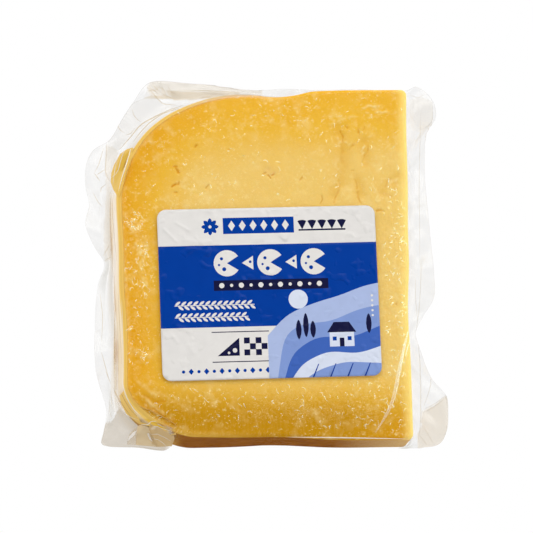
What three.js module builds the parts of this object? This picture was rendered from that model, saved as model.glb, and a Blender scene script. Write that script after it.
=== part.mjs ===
import * as THREE from "three";

// A chunk of parmesan sealed in a clear vacuum pouch, with a paper label stuck on its front.
// It lies on its back with the label up. Millimetres, +Z up, +Y towards the label's top edge.

// The chunk is a slice out of a small wheel. Its left side is the wheel's rim, its top and bottom
// are the wheel's two flat faces, and its right side is where the slice was trimmed short.
const WHEEL_HEIGHT = 107;
const SLICE_DEPTH = 88.5;
const RIM_THICKNESS = 28.5;
const TRIM_THICKNESS = 21.5;
const SLICE_ANGLE = Math.atan((RIM_THICKNESS - TRIM_THICKNESS) / SLICE_DEPTH);

const LEFT = -SLICE_DEPTH / 2;
const RIGHT = SLICE_DEPTH / 2;
const TOP = WHEEL_HEIGHT / 2;
const BOTTOM = -WHEEL_HEIGHT / 2;

// The rim's two rounded shoulders: how far each runs along the face and down the rim, and how full
// it is, where 0.55 is an ellipse and less is nearer a straight chamfer.
const UPPER_SHOULDER = { along: 36, down: 32.5, fullness: 0.55 };
const LOWER_SHOULDER = { along: 21, down: 16, fullness: 0.4 };
const TRIM_CORNER = { along: 1.8, down: 1.8, fullness: 0.55 };
const RIM_LEAN = 2.2; // the rim's lower end stands this much to the right of its upper end
const TRIM_LEAN = 1.1; // and so does the trimmed side's
const TOP_FALL = 2.3; // the top edge falls this much from the trimmed side to the upper shoulder
const RIM_SPLAY = 1.9; // the rim stands this much further out at the back than at the front
const EDGE_ROUNDING = 2.2; // under the tight film the chunk's edges are worn round
const BASE_ROUNDING = 1.4;
const EDGE_WAVER = 0.25; // how far the hand-cut outline wanders in and out
const TOP_STEP = { from: 8, to: 15, height: 0.8 }; // the top edge is cut higher to the right of here
const RIM_BULGE = { y: -5, width: 12, height: 0.7 }; // the rim bulges out a little at this height
const TRIM_HOLLOW = 0.5; // and the trimmed side is hollow by this much halfway up

// Tears that the knife and the crumbly paste left in the face: from, to, half width and depth.
const TEARS = [
  { from: [21.5, 41], to: [23.5, 34], halfWidth: 2.2, depth: 0.9 },
  { from: [23, 34], to: [22, 25], halfWidth: 2.6, depth: 0.8 },
  { from: [21.5, 26], to: [20, 20], halfWidth: 1.6, depth: 0.8 },
  { from: [29, 37], to: [30.5, 31], halfWidth: 1.8, depth: 0.8 },
  { from: [27.5, 25.5], to: [28.5, 20], halfWidth: 1.6, depth: 0.8 },
  { from: [35.5, 22], to: [39.5, 26.5], halfWidth: 1.8, depth: 0.7 },
  { from: [0, 28], to: [2.2, 26.8], halfWidth: 1.6, depth: 0.8 },
  { from: [-27.5, 30.5], to: [-26.5, 24.5], halfWidth: 1.5, depth: 0.7 },
];

// The film's free margin. FILM_EDGE is its cut edge as it lies crumpled round the chunk, in plan,
// anticlockwise from the lower right corner.
const FILM_EDGE = [
  [47.7, -53.4], [53.3, -52.3], [55.4, -48.5], [55.9, -43], [55.4, -37.6], [51.1, -32.5],
  [47.8, -24.5], [46.1, -18.5], [48.6, -12.7], [51.7, -7.4], [51.6, -1], [50.4, 16],
  [49.8, 35.6], [50.4, 42.3], [53.3, 47.3], [52.3, 52.9], [47.4, 57.6], [43.8, 56.4],
  [26, 57.4], [-1, 56.9], [-20.2, 59.5], [-35.1, 59.4], [-40.2, 53], [-44, 47.8],
  [-47.7, 41.9], [-52.8, 38.5], [-55, 33.4], [-55.1, 27], [-54, 21.4], [-55, 14.5],
  [-52.2, 7.5], [-49.4, 2.9], [-51.2, -4], [-51.9, -19], [-51.2, -31.6], [-48, -43.2],
  [-48.7, -49.4], [-49.3, -53], [-47.4, -53.9], [-38, -54.4], [-30.1, -55.2], [-19.8, -54.6],
  [10.5, -53.9], [30, -53.5],
];
const FILM_THICKNESS = 0.8; // both layers of film, drawn thicker than the real 0.2
const LEAST_MARGIN = 0.5; // where the film is folded tight against the chunk
const SEAM_HEIGHT = 0.24; // share of the chunk's thickness where the margin leaves its side
const WEB_HEIGHT = 0.28; // share of it over which the film bridges from the side to the margin
const WEB_REACH = 0.5; // share of the margin that the bridge takes
const DROOPED_HEIGHT = 4.6; // the margin's outer edge, halfway between its waves
const MARGIN_WAVES = [
  { count: 9, height: 1.7, turn: 0.7 },
  { count: 17, height: 0.9, turn: 2.1 },
];
const LOWEST_MARGIN = 1.1;
const PLEAT_LENGTH = 9.5; // along the chunk's outline, from one pleat of the film to the next
const PLEAT_DEPTH = 0.6;

const LABEL = { width: 65.8, height: 51.8, corner: 2.7, thickness: 0.3, gap: 0.3 };
const LABEL_PLACE = { x: 0.8, y: -9.6, turn: THREE.MathUtils.degToRad(2.3) };
const LABEL_SEAT = { margin: 0.8, fade: 3 }; // the film is flat this far round the label

// How finely the pouch is divided.
const STATIONS = 160;
const FACE_RINGS = { innermost: 0.26, first: 0.44, last: 0.94, steps: 12 };
const ROUNDING_STEPS = 3;
const WALL_STEPS = 3;
const WEB_STEPS = 4;
const MARGIN_STEPS = 3;

const CHEESE_YELLOW = 0xe9c063;
const LABEL_WHITE = 0xe3e0db;

// Draws one rounded corner of the outline, from the path's end past corner to end.
function roundCorner(path, corner, end, fullness) {
  const start = path.currentPoint;
  path.bezierCurveTo(
    start.x + (corner[0] - start.x) * fullness,
    start.y + (corner[1] - start.y) * fullness,
    end[0] + (corner[0] - end[0]) * fullness,
    end[1] + (corner[1] - end[1]) * fullness,
    end[0],
    end[1],
  );
}

// The outline of the front face, anticlockwise from the lower right corner.
function faceOutline() {
  const trimTop = RIGHT - TRIM_LEAN;
  const rimBottom = LEFT + RIM_LEAN;
  const path = new THREE.Path();
  const topLeft = TOP - TOP_FALL;
  path.moveTo(RIGHT, BOTTOM + TRIM_CORNER.down);
  path.lineTo(trimTop, TOP - TRIM_CORNER.down);
  roundCorner(path, [trimTop, TOP], [trimTop - TRIM_CORNER.along, TOP], TRIM_CORNER.fullness);
  path.lineTo(LEFT + UPPER_SHOULDER.along, topLeft);
  roundCorner(
    path,
    [LEFT, topLeft],
    [LEFT, topLeft - UPPER_SHOULDER.down],
    UPPER_SHOULDER.fullness,
  );
  path.lineTo(rimBottom, BOTTOM + LOWER_SHOULDER.down);
  roundCorner(
    path,
    [rimBottom, BOTTOM],
    [rimBottom + LOWER_SHOULDER.along, BOTTOM],
    LOWER_SHOULDER.fullness,
  );
  path.lineTo(RIGHT - TRIM_CORNER.along, BOTTOM);
  roundCorner(path, [RIGHT, BOTTOM], [RIGHT, BOTTOM + TRIM_CORNER.down], TRIM_CORNER.fullness);
  return path;
}

// The front face before its tears: a plane that falls from the rim to the trimmed side.
function planeHeight(x) {
  return RIM_THICKNESS - (x - LEFT) * Math.tan(SLICE_ANGLE);
}

function smoothStep(from, to, value) {
  return THREE.MathUtils.smoothstep(value, from, to);
}

// 0 on the label's seat and 1 away from it.
function outsideSeat(x, y) {
  const dx = x - LABEL_PLACE.x;
  const dy = y - LABEL_PLACE.y;
  const along = Math.abs(dx * Math.cos(LABEL_PLACE.turn) + dy * Math.sin(LABEL_PLACE.turn));
  const across = Math.abs(dy * Math.cos(LABEL_PLACE.turn) - dx * Math.sin(LABEL_PLACE.turn));
  const beyond = Math.max(along - LABEL.width / 2, across - LABEL.height / 2);
  return smoothStep(LABEL_SEAT.margin, LABEL_SEAT.margin + LABEL_SEAT.fade, beyond);
}

function distanceToSegment(x, y, [x0, y0], [x1, y1]) {
  const dx = x1 - x0;
  const dy = y1 - y0;
  const share = ((x - x0) * dx + (y - y0) * dy) / (dx * dx + dy * dy);
  const t = THREE.MathUtils.clamp(share, 0, 1);
  return Math.hypot(x - x0 - t * dx, y - y0 - t * dy);
}

// How deep the tears go at a point of the face.
function tearDepth(x, y) {
  let depth = 0;
  for (const tear of TEARS) {
    const away = distanceToSegment(x, y, tear.from, tear.to) / tear.halfWidth;
    depth = Math.max(depth, tear.depth * Math.exp(-away * away));
  }
  return depth * outsideSeat(x, y);
}

function faceHeight(x, y) {
  return planeHeight(x) - tearDepth(x, y);
}

// The radius of a closed outline in a direction from the middle.
function radiusTowards(outline, direction) {
  for (let i = 0; i < outline.length; i++) {
    const a = outline[i];
    const b = outline[(i + 1) % outline.length];
    const crossA = direction.x * a.y - direction.y * a.x;
    const crossB = direction.x * b.y - direction.y * b.x;
    if (crossA > 0 || crossB <= 0) continue;
    const share = crossA / (crossA - crossB);
    const hit = a.clone().lerp(b, share);
    if (hit.dot(direction) > 0) return hit.length();
  }
  throw new Error("the film's edge doesn't go round the chunk");
}

function filmEdge() {
  const points = FILM_EDGE.map(([x, y]) => new THREE.Vector3(x, y, 0));
  const curve = new THREE.CatmullRomCurve3(points, true, "centripetal");
  return curve.getSpacedPoints(STATIONS * 4).map((p) => new THREE.Vector2(p.x, p.y));
}

// How far the knife strayed from the straight outline at one of its points.
function knifeStray(point) {
  const share = (point.y - BOTTOM) / WHEEL_HEIGHT;
  const offBulge = (point.y - RIM_BULGE.y) / RIM_BULGE.width;
  const bulge = RIM_BULGE.height * Math.exp(-offBulge * offBulge);
  const hollow = TRIM_HOLLOW * Math.sin(Math.PI * share);
  const step = TOP_STEP.height * smoothStep(TOP_STEP.from, TOP_STEP.to, point.x);
  return new THREE.Vector2(point.x < 0 ? -bulge : -hollow, step * smoothStep(0, 40, point.y));
}

// Everything that the pouch's rings need to know at one place on the outline.
function makeStations() {
  const outline = faceOutline().getSpacedPoints(STATIONS).slice(0, STATIONS);
  const edge = filmEdge();
  const step = faceOutline().getLength() / STATIONS;
  return outline.map((point, i) => {
    const direction = point.clone().normalize();
    const angle = Math.atan2(direction.y, direction.x);
    const waver = EDGE_WAVER * (Math.sin(5 * angle + 0.4) + 0.6 * Math.sin(11 * angle + 1.9));
    const face = point.clone().addScaledVector(direction, waver).add(knifeStray(point));
    const height = planeHeight(face.x);
    const waves = MARGIN_WAVES.map((w) => w.height * Math.sin(w.count * angle + w.turn));
    const drooped = DROOPED_HEIGHT + waves.reduce((sum, wave) => sum + wave, 0);
    const way = (2 * Math.PI * i * step) / PLEAT_LENGTH;
    return {
      face,
      direction,
      height,
      seam: SEAM_HEIGHT * height,
      web: WEB_HEIGHT * height,
      edgeRadius: radiusTowards(edge, direction),
      edgeHeight: Math.max(LOWEST_MARGIN, drooped),
      pleat: PLEAT_DEPTH * Math.sin(way + 1.4 * Math.sin(way / 7)),
    };
  });
}

// The chunk's side: square to the middle plane of the slice, so it leans by half the slice's angle,
// and its rim splays out towards the back besides.
function sidePoint(station, z) {
  const below = station.height - z;
  const lean = below * Math.tan(SLICE_ANGLE / 2);
  const splay = (RIM_SPLAY * below) / station.height;
  const towardsRim = Math.max(0, -station.direction.x);
  const point = new THREE.Vector3(station.face.x - lean, station.face.y, z);
  return moveOut(point, station, splay * towardsRim);
}

function moveOut(point, station, distance) {
  point.x += station.direction.x * distance;
  point.y += station.direction.y * distance;
  return point;
}

// How far the margin reaches past the chunk's side at one station.
function marginWidth(station) {
  const seam = sidePoint(station, station.seam);
  return Math.max(LEAST_MARGIN, station.edgeRadius - Math.hypot(seam.x, seam.y));
}

// The margin's height at a share of its width, from the seam to the cut edge.
function marginHeight(station, share) {
  const flat = THREE.MathUtils.lerp(station.seam, station.edgeHeight, smoothStep(0, 1, share));
  const reach = Math.min(1, marginWidth(station) / PLEAT_LENGTH);
  return Math.max(LOWEST_MARGIN, flat + station.pleat * reach * Math.sin(Math.PI * share));
}

// One point of the margin, side 1 for its upper face and side -1 for its lower one.
function marginPoint(station, share, side) {
  const point = sidePoint(station, station.seam);
  moveOut(point, station, share * marginWidth(station));
  point.z = marginHeight(station, share) + (side * FILM_THICKNESS) / 2;
  return point;
}

// The film bridges from the chunk's side to the margin along a quarter of an ellipse.
function bridgePoint(station, turn, side) {
  const start = station.seam + side * Math.min(station.web, station.seam - BASE_ROUNDING);
  const end = marginPoint(station, WEB_REACH, side);
  const wall = sidePoint(station, THREE.MathUtils.lerp(start, end.z, Math.sin(turn)));
  const out = 1 - Math.cos(turn);
  return new THREE.Vector3(
    THREE.MathUtils.lerp(wall.x, end.x, out),
    THREE.MathUtils.lerp(wall.y, end.y, out),
    wall.z,
  );
}

function steps(count) {
  return Array.from({ length: count }, (_, i) => (i + 1) / count);
}

// The rings of the pouch's skin, from the middle of its front round the margin to its back.
function pouchRings(stations) {
  const rings = [];
  const addRing = (place) => rings.push(stations.map(place));
  const { innermost, first, last } = FACE_RINGS;
  const outward = [0, ...steps(FACE_RINGS.steps)];
  const shares = outward.map((share) => THREE.MathUtils.lerp(first, last, share));
  for (const share of [innermost, ...shares]) {
    addRing((s) => {
      const p = s.face.clone().multiplyScalar(share);
      return new THREE.Vector3(p.x, p.y, faceHeight(p.x, p.y));
    });
  }
  for (const share of [0, ...steps(ROUNDING_STEPS)]) {
    const turn = (share * Math.PI) / 2;
    addRing((s) => {
      const inset = EDGE_ROUNDING * (1 - Math.sin(turn));
      const drop = EDGE_ROUNDING * (1 - Math.cos(turn));
      const point = moveOut(sidePoint(s, s.height - drop), s, -inset);
      point.z = faceHeight(point.x, point.y) - drop;
      return point;
    });
  }
  for (const share of steps(WALL_STEPS).slice(0, -1)) {
    addRing((s) => {
      const high = s.height - EDGE_ROUNDING;
      return sidePoint(s, THREE.MathUtils.lerp(high, s.seam + s.web, share));
    });
  }
  for (const share of [0, ...steps(WEB_STEPS)]) {
    addRing((s) => bridgePoint(s, (share * Math.PI) / 2, 1));
  }
  for (const share of steps(MARGIN_STEPS)) {
    addRing((s) => marginPoint(s, THREE.MathUtils.lerp(WEB_REACH, 1, share), 1));
  }
  for (const share of [0, ...steps(MARGIN_STEPS - 1)]) {
    addRing((s) => marginPoint(s, THREE.MathUtils.lerp(1, WEB_REACH, share), -1));
  }
  for (const share of steps(WEB_STEPS - 1)) {
    addRing((s) => bridgePoint(s, ((1 - share) * Math.PI) / 2, -1));
  }
  addRing((s) => moveOut(sidePoint(s, 0), s, -BASE_ROUNDING));
  addRing((s) => sidePoint(s, 0).multiplyScalar(0.5));
  return rings;
}

// Joins rings of equal length into one closed skin, with a fan at each end.
function skin(rings, first, last) {
  const count = rings[0].length;
  const points = [first, ...rings.flat(), last];
  const index = [];
  const at = (ring, i) => 1 + ring * count + (i % count);
  for (let i = 0; i < count; i++) {
    index.push(0, at(0, i), at(0, i + 1));
    for (let ring = 0; ring + 1 < rings.length; ring++) {
      index.push(at(ring, i), at(ring + 1, i), at(ring + 1, i + 1));
      index.push(at(ring, i), at(ring + 1, i + 1), at(ring, i + 1));
    }
    index.push(at(rings.length - 1, i), points.length - 1, at(rings.length - 1, i + 1));
  }
  const geometry = new THREE.BufferGeometry().setFromPoints(points);
  geometry.setIndex(index);
  geometry.computeVertexNormals();
  return geometry;
}

function makePouch() {
  const front = new THREE.Vector3(0, 0, planeHeight(0));
  const back = new THREE.Vector3(0, 0, 0);
  const geometry = skin(pouchRings(makeStations()), front, back);
  const material = new THREE.MeshStandardMaterial({
    color: CHEESE_YELLOW,
    roughness: 0.25,
    metalness: 0,
  });
  const mesh = new THREE.Mesh(geometry, material);
  mesh.name = "vacuum_pouch";
  return mesh;
}

function labelShape() {
  const { width, height, corner } = LABEL;
  const shape = new THREE.Shape();
  shape.moveTo(-width / 2 + corner, -height / 2);
  shape.absarc(width / 2 - corner, -height / 2 + corner, corner, -Math.PI / 2, 0);
  shape.absarc(width / 2 - corner, height / 2 - corner, corner, 0, Math.PI / 2);
  shape.absarc(-width / 2 + corner, height / 2 - corner, corner, Math.PI / 2, Math.PI);
  shape.absarc(-width / 2 + corner, -height / 2 + corner, corner, Math.PI, 1.5 * Math.PI);
  return shape;
}

function makeLabel() {
  const geometry = new THREE.ExtrudeGeometry(labelShape(), {
    depth: LABEL.thickness,
    bevelEnabled: false,
    curveSegments: 6,
  });
  geometry.rotateZ(LABEL_PLACE.turn);
  const material = new THREE.MeshStandardMaterial({
    color: LABEL_WHITE,
    roughness: 0.45,
    metalness: 0,
  });
  const mesh = new THREE.Mesh(geometry, material);
  mesh.name = "label";
  const height = planeHeight(LABEL_PLACE.x) + LABEL.gap / Math.cos(SLICE_ANGLE);
  mesh.position.set(LABEL_PLACE.x, LABEL_PLACE.y, height);
  mesh.rotation.y = SLICE_ANGLE;
  return mesh;
}

// The origin is under the middle of the whole pouch's box.
function makePack() {
  const pack = new THREE.Group();
  pack.add(makePouch(), makeLabel());
  const middle = new THREE.Box3().setFromObject(pack).getCenter(new THREE.Vector3());
  pack.position.set(-middle.x, -middle.y, 0);
  return pack;
}

const pack = makePack();

export default pack;
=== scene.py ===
# A chunk of parmesan in a clear vacuum pouch, with a paper label stuck on it, lying on its back.
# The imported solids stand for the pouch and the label. Here the pouch becomes a cheese with a clear
# film drawn tight over it, and the label is printed.

import math
from types import SimpleNamespace

import bpy
import numpy as np
from mathutils import Matrix, Vector
from mathutils.bvhtree import BVHTree
from mathutils.geometry import delaunay_2d_cdt
from mathutils.kdtree import KDTree


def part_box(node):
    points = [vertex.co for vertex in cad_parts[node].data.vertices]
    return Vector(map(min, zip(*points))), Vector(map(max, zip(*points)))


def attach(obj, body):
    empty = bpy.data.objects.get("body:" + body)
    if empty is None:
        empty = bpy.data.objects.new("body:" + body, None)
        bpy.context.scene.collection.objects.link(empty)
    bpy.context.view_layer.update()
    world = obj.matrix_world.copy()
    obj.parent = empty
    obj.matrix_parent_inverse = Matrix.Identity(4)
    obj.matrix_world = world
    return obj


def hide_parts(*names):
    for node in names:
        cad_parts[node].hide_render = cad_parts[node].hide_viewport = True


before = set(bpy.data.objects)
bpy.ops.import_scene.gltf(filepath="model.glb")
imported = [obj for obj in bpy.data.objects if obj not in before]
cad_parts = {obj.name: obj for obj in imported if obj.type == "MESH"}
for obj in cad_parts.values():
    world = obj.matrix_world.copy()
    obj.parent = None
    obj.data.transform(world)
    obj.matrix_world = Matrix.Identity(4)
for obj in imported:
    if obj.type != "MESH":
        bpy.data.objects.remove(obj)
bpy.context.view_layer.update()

MM = 0.001

# The cheese, in millimetres: x runs from the rim to the trimmed side, y up the label, z up from
# the table. Plan places are measured from the middle of the cheese's face.
WHEEL_HEIGHT = 107.0
SLICE_DEPTH = 88.5
RIM_THICKNESS = 28.5
TRIM_THICKNESS = 21.5
SLICE_SLOPE = (RIM_THICKNESS - TRIM_THICKNESS) / SLICE_DEPTH
LEFT, RIGHT = -SLICE_DEPTH / 2, SLICE_DEPTH / 2
BOTTOM, TOP = -WHEEL_HEIGHT / 2, WHEEL_HEIGHT / 2
UPPER_SHOULDER = {"along": 36.0, "down": 32.5, "fullness": 0.55}
LOWER_SHOULDER = {"along": 21.0, "down": 16.0, "fullness": 0.4}
TRIM_CORNER = {"along": 1.8, "down": 1.8, "fullness": 0.55}
RIM_LEAN = 2.2
TRIM_LEAN = 1.1
TOP_FALL = 2.3
RIM_SPLAY = 1.9
EDGE_WAVER = 0.25
TOP_STEP = {"from": 8.0, "to": 15.0, "height": 0.8}  # to the right the upper edge is cut higher
TOP_DIP = {"x": 3.0, "width": 6.5, "depth": 0.9}  # a shallow dip in the upper edge
RIM_BULGE = {"y": -5.0, "width": 12.0, "height": 0.7}
TRIM_HOLLOW = 0.5

# Broad hollows in the face: from, to, half width, depth.
TEARS = [
    ((21.5, 41), (23.5, 34), 2.2, 0.9),
    ((23, 34), (22, 25), 2.6, 0.8),
    ((21.5, 26), (20, 20), 1.6, 0.8),
    ((29, 37), (30.5, 31), 1.8, 0.8),
    ((27.5, 25.5), (28.5, 20), 1.6, 0.8),
    ((35.5, 22), (39.5, 26.5), 1.8, 0.7),
    ((0, 28), (2.2, 26.8), 1.2, 0.35),
]

# Cracks where a flake has lifted, which also get painted shade with the pits: points along it, half width,
# depth.
CRACKS = [
    ([(22.4, 40.6), (23, 39.4), (23.3, 38.4), (23.2, 37.5)], 0.26, 0.8),
    ([(22.9, 35.8), (22.6, 33.5), (22.7, 31.4), (23.5, 30.1)], 0.7, 0.35),
    ([(21.9, 25.8), (22, 23.7), (21.7, 21.9), (20.7, 19.8), (20.3, 18.1)], 0.34, 0.6),
    ([(25.2, 34.7), (26.5, 36.7)], 0.26, 0.5),
    ([(30.9, 36.2), (30.5, 33.9), (29.8, 32.6), (29.4, 31.3)], 0.3, 0.6),
    ([(27.8, 41.3), (27.8, 39.8)], 0.24, 0.6),
    ([(25.7, 26.6), (26.7, 25.6), (27.2, 24.3), (27.4, 23)], 0.3, 0.4),
    ([(27.6, 21.8), (27.8, 20.2), (28.5, 18.8)], 0.34, 0.7),
    ([(16.6, 20.5), (16.7, 19), (16.4, 18)], 0.28, 0.6),
    ([(36, 23.7), (36.6, 25.3), (37.6, 26.1)], 0.34, 0.45),
    ([(34.7, 21.1), (37.8, 20.7)], 0.4, 0.35),
    ([(33.2, 16), (35.2, 16)], 0.32, 0.8),
    ([(-36.4, -41.2), (-32.9, -43), (-30.5, -42.6)], 0.5, 0.5),
    ([(-34, -44.8), (-31.7, -47.1)], 0.6, 0.45),
    ([(-31.7, -42.3), (-30.8, -45.9)], 0.5, 0.4),
    ([(-39.8, -28.1), (-37.1, -32.2)], 0.6, 0.3),
]

# Crumpled lips and ridges, raised a little and painted paler as a painted highlight: points along it, half
# width, how pale.
PALE_LINES = [
    ([(19.6, 38.6), (20, 36.8), (21.1, 36), (22.4, 35.8)], 0.4, 0.6),
    ([(21.4, 38.5), (22.6, 37.6), (22.3, 36.7)], 0.5, 0.7),
    ([(28.2, 35.1), (29.4, 35.9), (28.7, 34.6), (29.6, 34.1), (28.9, 33.4)], 0.28, 0.9),
    ([(24.1, 37), (25, 36.1), (25.6, 37)], 0.3, 0.7),
    ([(19.2, 42.5), (21.4, 43.2), (24, 44.3), (26.8, 45.3)], 0.4, 0.4),
    ([(29.3, 47.9), (30.8, 48.6), (32.7, 48.3), (33.9, 48.8)], 0.36, 0.8),
    ([(33.3, 46.5), (35.1, 46.1), (36.6, 46.7), (37.8, 46.3)], 0.32, 0.8),
    ([(30.5, 46.4), (31.7, 45.7), (31.1, 44.6)], 0.32, 0.6),
    ([(36.8, 23.7), (37.8, 25), (39.8, 25.8)], 0.6, 0.6),
    ([(33.2, 22.6), (33.7, 20.9), (33.7, 19.1)], 0.45, 0.7),
    ([(26.2, 26.4), (25.4, 26.7)], 0.3, 0.7),
    ([(21.3, 31.4), (21.5, 28.3), (20.7, 25.2)], 1.1, 0.4),
    ([(24.5, 22.5), (25, 20)], 1.6, 0.3),
    ([(-42.4, 13.4), (-40, 8.2)], 0.5, 0.5),
    ([(-40.4, 11.5), (-38.6, 11), (-38.4, 9.6)], 0.42, 0.9),
    ([(-41.3, 10.4), (-39.9, 9.5), (-40.4, 8), (-38.9, 7.4)], 0.5, 0.8),
    ([(-38.8, 4.9), (-37.6, 1.7), (-36.7, -0.8)], 0.75, 0.8),
    ([(-38.2, -0.9), (-36, -7.8)], 0.6, 0.45),
    ([(-41.9, -26), (-39.5, -27.4), (-34.7, -29.8)], 0.7, 0.55),
    ([(-42.6, -0.9), (-42, -10)], 0.4, 0.5),
    ([(-42, -12.4), (-40.7, -21.4)], 0.4, 0.4),
    ([(-37.3, -40.9), (-34, -43.9), (-30.8, -46.2)], 0.5, 0.6),
    ([(-38.5, -36.5), (-33, -41.2)], 0.5, 0.5),
    ([(-34.6, -43.9), (-31.7, -48)], 0.4, 0.5),
]

# Patches of painted highlight, where the film has let go of the paste in fine curls that catch the light:
# lower left, upper right, how much.
CURL_GLINT_PATCHES = [
    ((34.5, -38.0), (40.5, 9.0), 0.4),
    ((-4.0, -47.0), (34.0, -39.0), 0.35),
    ((-42.0, -26.0), (-35.5, 12.0), 0.35),
]

# Small pits in the paste: place, length, half width, the way they run in degrees, depth.
PITS = [
    ((-0.5, 27.0), 0.9, 0.28, 20, 0.7),
    ((0.9, 25.9), 1.2, 0.3, -50, 0.8),
    ((2.1, 26.6), 0.8, 0.26, 35, 0.8),
    ((10.4, 25.5), 1.1, 0.28, 60, 0.6),
    ((-21.4, 34.9), 0.7, 0.32, 60, 0.8),
    ((-27.6, 28.5), 1.0, 0.36, -10, 0.8),
    ((-26.8, 27.3), 1.5, 0.34, -60, 0.9),
    ((-27.8, 22.7), 1.4, 0.36, 35, 0.9),
    ((-26.5, 23.4), 0.8, 0.3, 60, 0.8),
    ((-27.2, 20.6), 0.5, 0.28, 0, 0.7),
    ((-18.0, 22.6), 1.3, 0.26, 50, 0.7),
    ((-11.6, 34.1), 0.4, 0.22, 0, 0.5),
    ((33.9, 16.2), 1.3, 0.3, 5, 0.8),
    ((26.2, 28.4), 0.5, 0.24, 0, 0.5),
    ((24.4, 41.6), 0.9, 0.28, -60, 0.6),
    ((29.6, 41.4), 0.7, 0.24, 80, 0.5),
    ((39.2, -12.4), 0.6, 0.25, 90, 0.6),
]

# The film's cut edge as it lies crumpled round the cheese, in plan, anticlockwise.
FILM_EDGE = [
    (47.7, -53.4), (53.3, -52.3), (55.4, -48.5), (55.9, -43), (55.4, -37.6), (51.1, -32.5),
    (47.8, -24.5), (46.1, -18.5), (48.6, -12.7), (51.7, -7.4), (51.6, -1), (50.4, 16),
    (49.8, 35.6), (50.4, 42.3), (53.3, 47.3), (52.3, 52.9), (47.4, 57.6), (43.8, 56.4),
    (26, 57.4), (-1, 56.9), (-20.2, 59.5), (-35.1, 59.4), (-40.2, 53), (-44, 47.8),
    (-47.7, 41.9), (-52.8, 38.5), (-55, 33.4), (-55.1, 27), (-54, 21.4), (-55, 14.5),
    (-52.2, 7.5), (-49.4, 2.9), (-51.2, -4), (-51.9, -19), (-51.2, -31.6), (-48, -43.2),
    (-48.7, -49.4), (-49.3, -53), (-47.4, -53.9), (-38, -54.4), (-30.1, -55.2), (-27.8, -54.1),
    (-25.6, -54.7), (-19.8, -54.6), (10.5, -53.9), (30, -53.5),
]
LEAST_MARGIN = 0.5
SEAM_HEIGHT = 0.24  # of the thickness: where the margin is aimed at the cheese's side
WEB_HEIGHT = 0.28  # of the thickness: how far above and below that the film leaves the side
WEB_REACH = 0.5  # of the margin: how far out the two films come together
DROOPED_HEIGHT = 4.6  # of the cut edge over the table
MARGIN_WAVES = [(9, 1.7, 0.7), (17, 0.9, 2.1)]  # how many round the chunk, height, start
LOWEST_MARGIN = 1.1
PLEAT_LENGTH = 9.5
PLEAT_DEPTH = 0.4
FILM_LAYERS = 0.24  # from the upper film to the lower one where they lie together

FILM_GAP = 0.3  # from the film to the cheese
FILM_ROUNDING = 1.8
CHEESE_ROUNDING = 1.2
BASE_ROUNDING = 1.4

LABEL = {"width": 65.8, "height": 51.8, "corner": 2.7, "thickness": 0.3, "gap": 0.3}
LABEL_PLACE = {"x": 0.8, "y": -9.6, "turn": math.radians(2.3)}
LABEL_SEAT = {"margin": 0.8, "fade": 3.0}

SEED = 7


# Small helpers


def linear(hex_colour):
    """An sRGB hex colour as the linear RGBA that the shaders take."""
    channels = [int(hex_colour[i : i + 2], 16) / 255 for i in (1, 3, 5)]
    low = [c / 12.92 for c in channels]
    high = [((c + 0.055) / 1.055) ** 2.4 for c in channels]
    return tuple(h if c > 0.04045 else l for c, l, h in zip(channels, low, high)) + (1.0,)


def smooth_step(start, end, value):
    """0 before the start, 1 past the end, and an even rise between them."""
    share = np.clip((value - start) / (end - start), 0, 1)
    return share * share * (3 - 2 * share)


NOISE_GRID = 256


def smooth_noise(x, y, cell, seed):
    """Noise from -1 to 1 whose bumps are about one cell apart, the same each run."""
    grid = np.random.default_rng(seed).uniform(-1, 1, (NOISE_GRID, NOISE_GRID))
    u, v = x / cell + NOISE_GRID / 2, y / cell + NOISE_GRID / 2
    i, j = np.floor(u).astype(int), np.floor(v).astype(int)
    a, b = smooth_step(0, 1, u - i), smooth_step(0, 1, v - j)

    def corner(right, up):
        return grid[(i + right) % NOISE_GRID, (j + up) % NOISE_GRID]

    low = corner(0, 0) * (1 - a) + corner(1, 0) * a
    high = corner(0, 1) * (1 - a) + corner(1, 1) * a
    return low * (1 - b) + high * b


def along_and_across(x, y, start, end):
    """Each point's distance along a straight line from its start, and off it to the left."""
    length = math.hypot(end[0] - start[0], end[1] - start[1])
    ux, uy = (end[0] - start[0]) / length, (end[1] - start[1]) / length
    along = (x - start[0]) * ux + (y - start[1]) * uy
    across = (y - start[1]) * ux - (x - start[0]) * uy
    return along, across, length


def distance_to_line(x, y, start, end):
    along, across, length = along_and_across(x, y, start, end)
    beyond = np.maximum(0, np.maximum(-along, along - length))
    return np.hypot(across, beyond)


def inside(outline, x, y):
    """1 inside an outline and 0 outside it."""
    within = np.zeros(np.shape(x), bool)
    for (x0, y0), (x1, y1) in zip(outline, outline[1:] + outline[:1]):
        if y0 != y1:
            crosses = (y0 > y) != (y1 > y)
            within ^= crosses & (x < x0 + (x1 - x0) * (y - y0) / (y1 - y0))
    return within.astype(float)


# The middle of the cheese's face in the frame, from the label that is stuck on it.
label_low, label_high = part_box("label")
FACE_MIDDLE = (
    (label_low.x + label_high.x) / 2 / MM - LABEL_PLACE["x"],
    (label_low.y + label_high.y) / 2 / MM - LABEL_PLACE["y"],
)


def in_frame(points):
    """Points measured from the middle of the face, in millimetres, as metres in the frame."""
    return (np.asarray(points, float) + (*FACE_MIDDLE, 0)) * MM


def make_piece(name, points, faces, materials):
    mesh = bpy.data.meshes.new(name)
    mesh.from_pydata(in_frame(points).tolist(), [], faces)
    mesh.polygons.foreach_set("use_smooth", [True] * len(mesh.polygons))
    for material in materials:
        mesh.materials.append(material)
    piece = bpy.data.objects.new(name, mesh)
    bpy.context.scene.collection.objects.link(piece)
    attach(piece, "root")
    return piece


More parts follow.
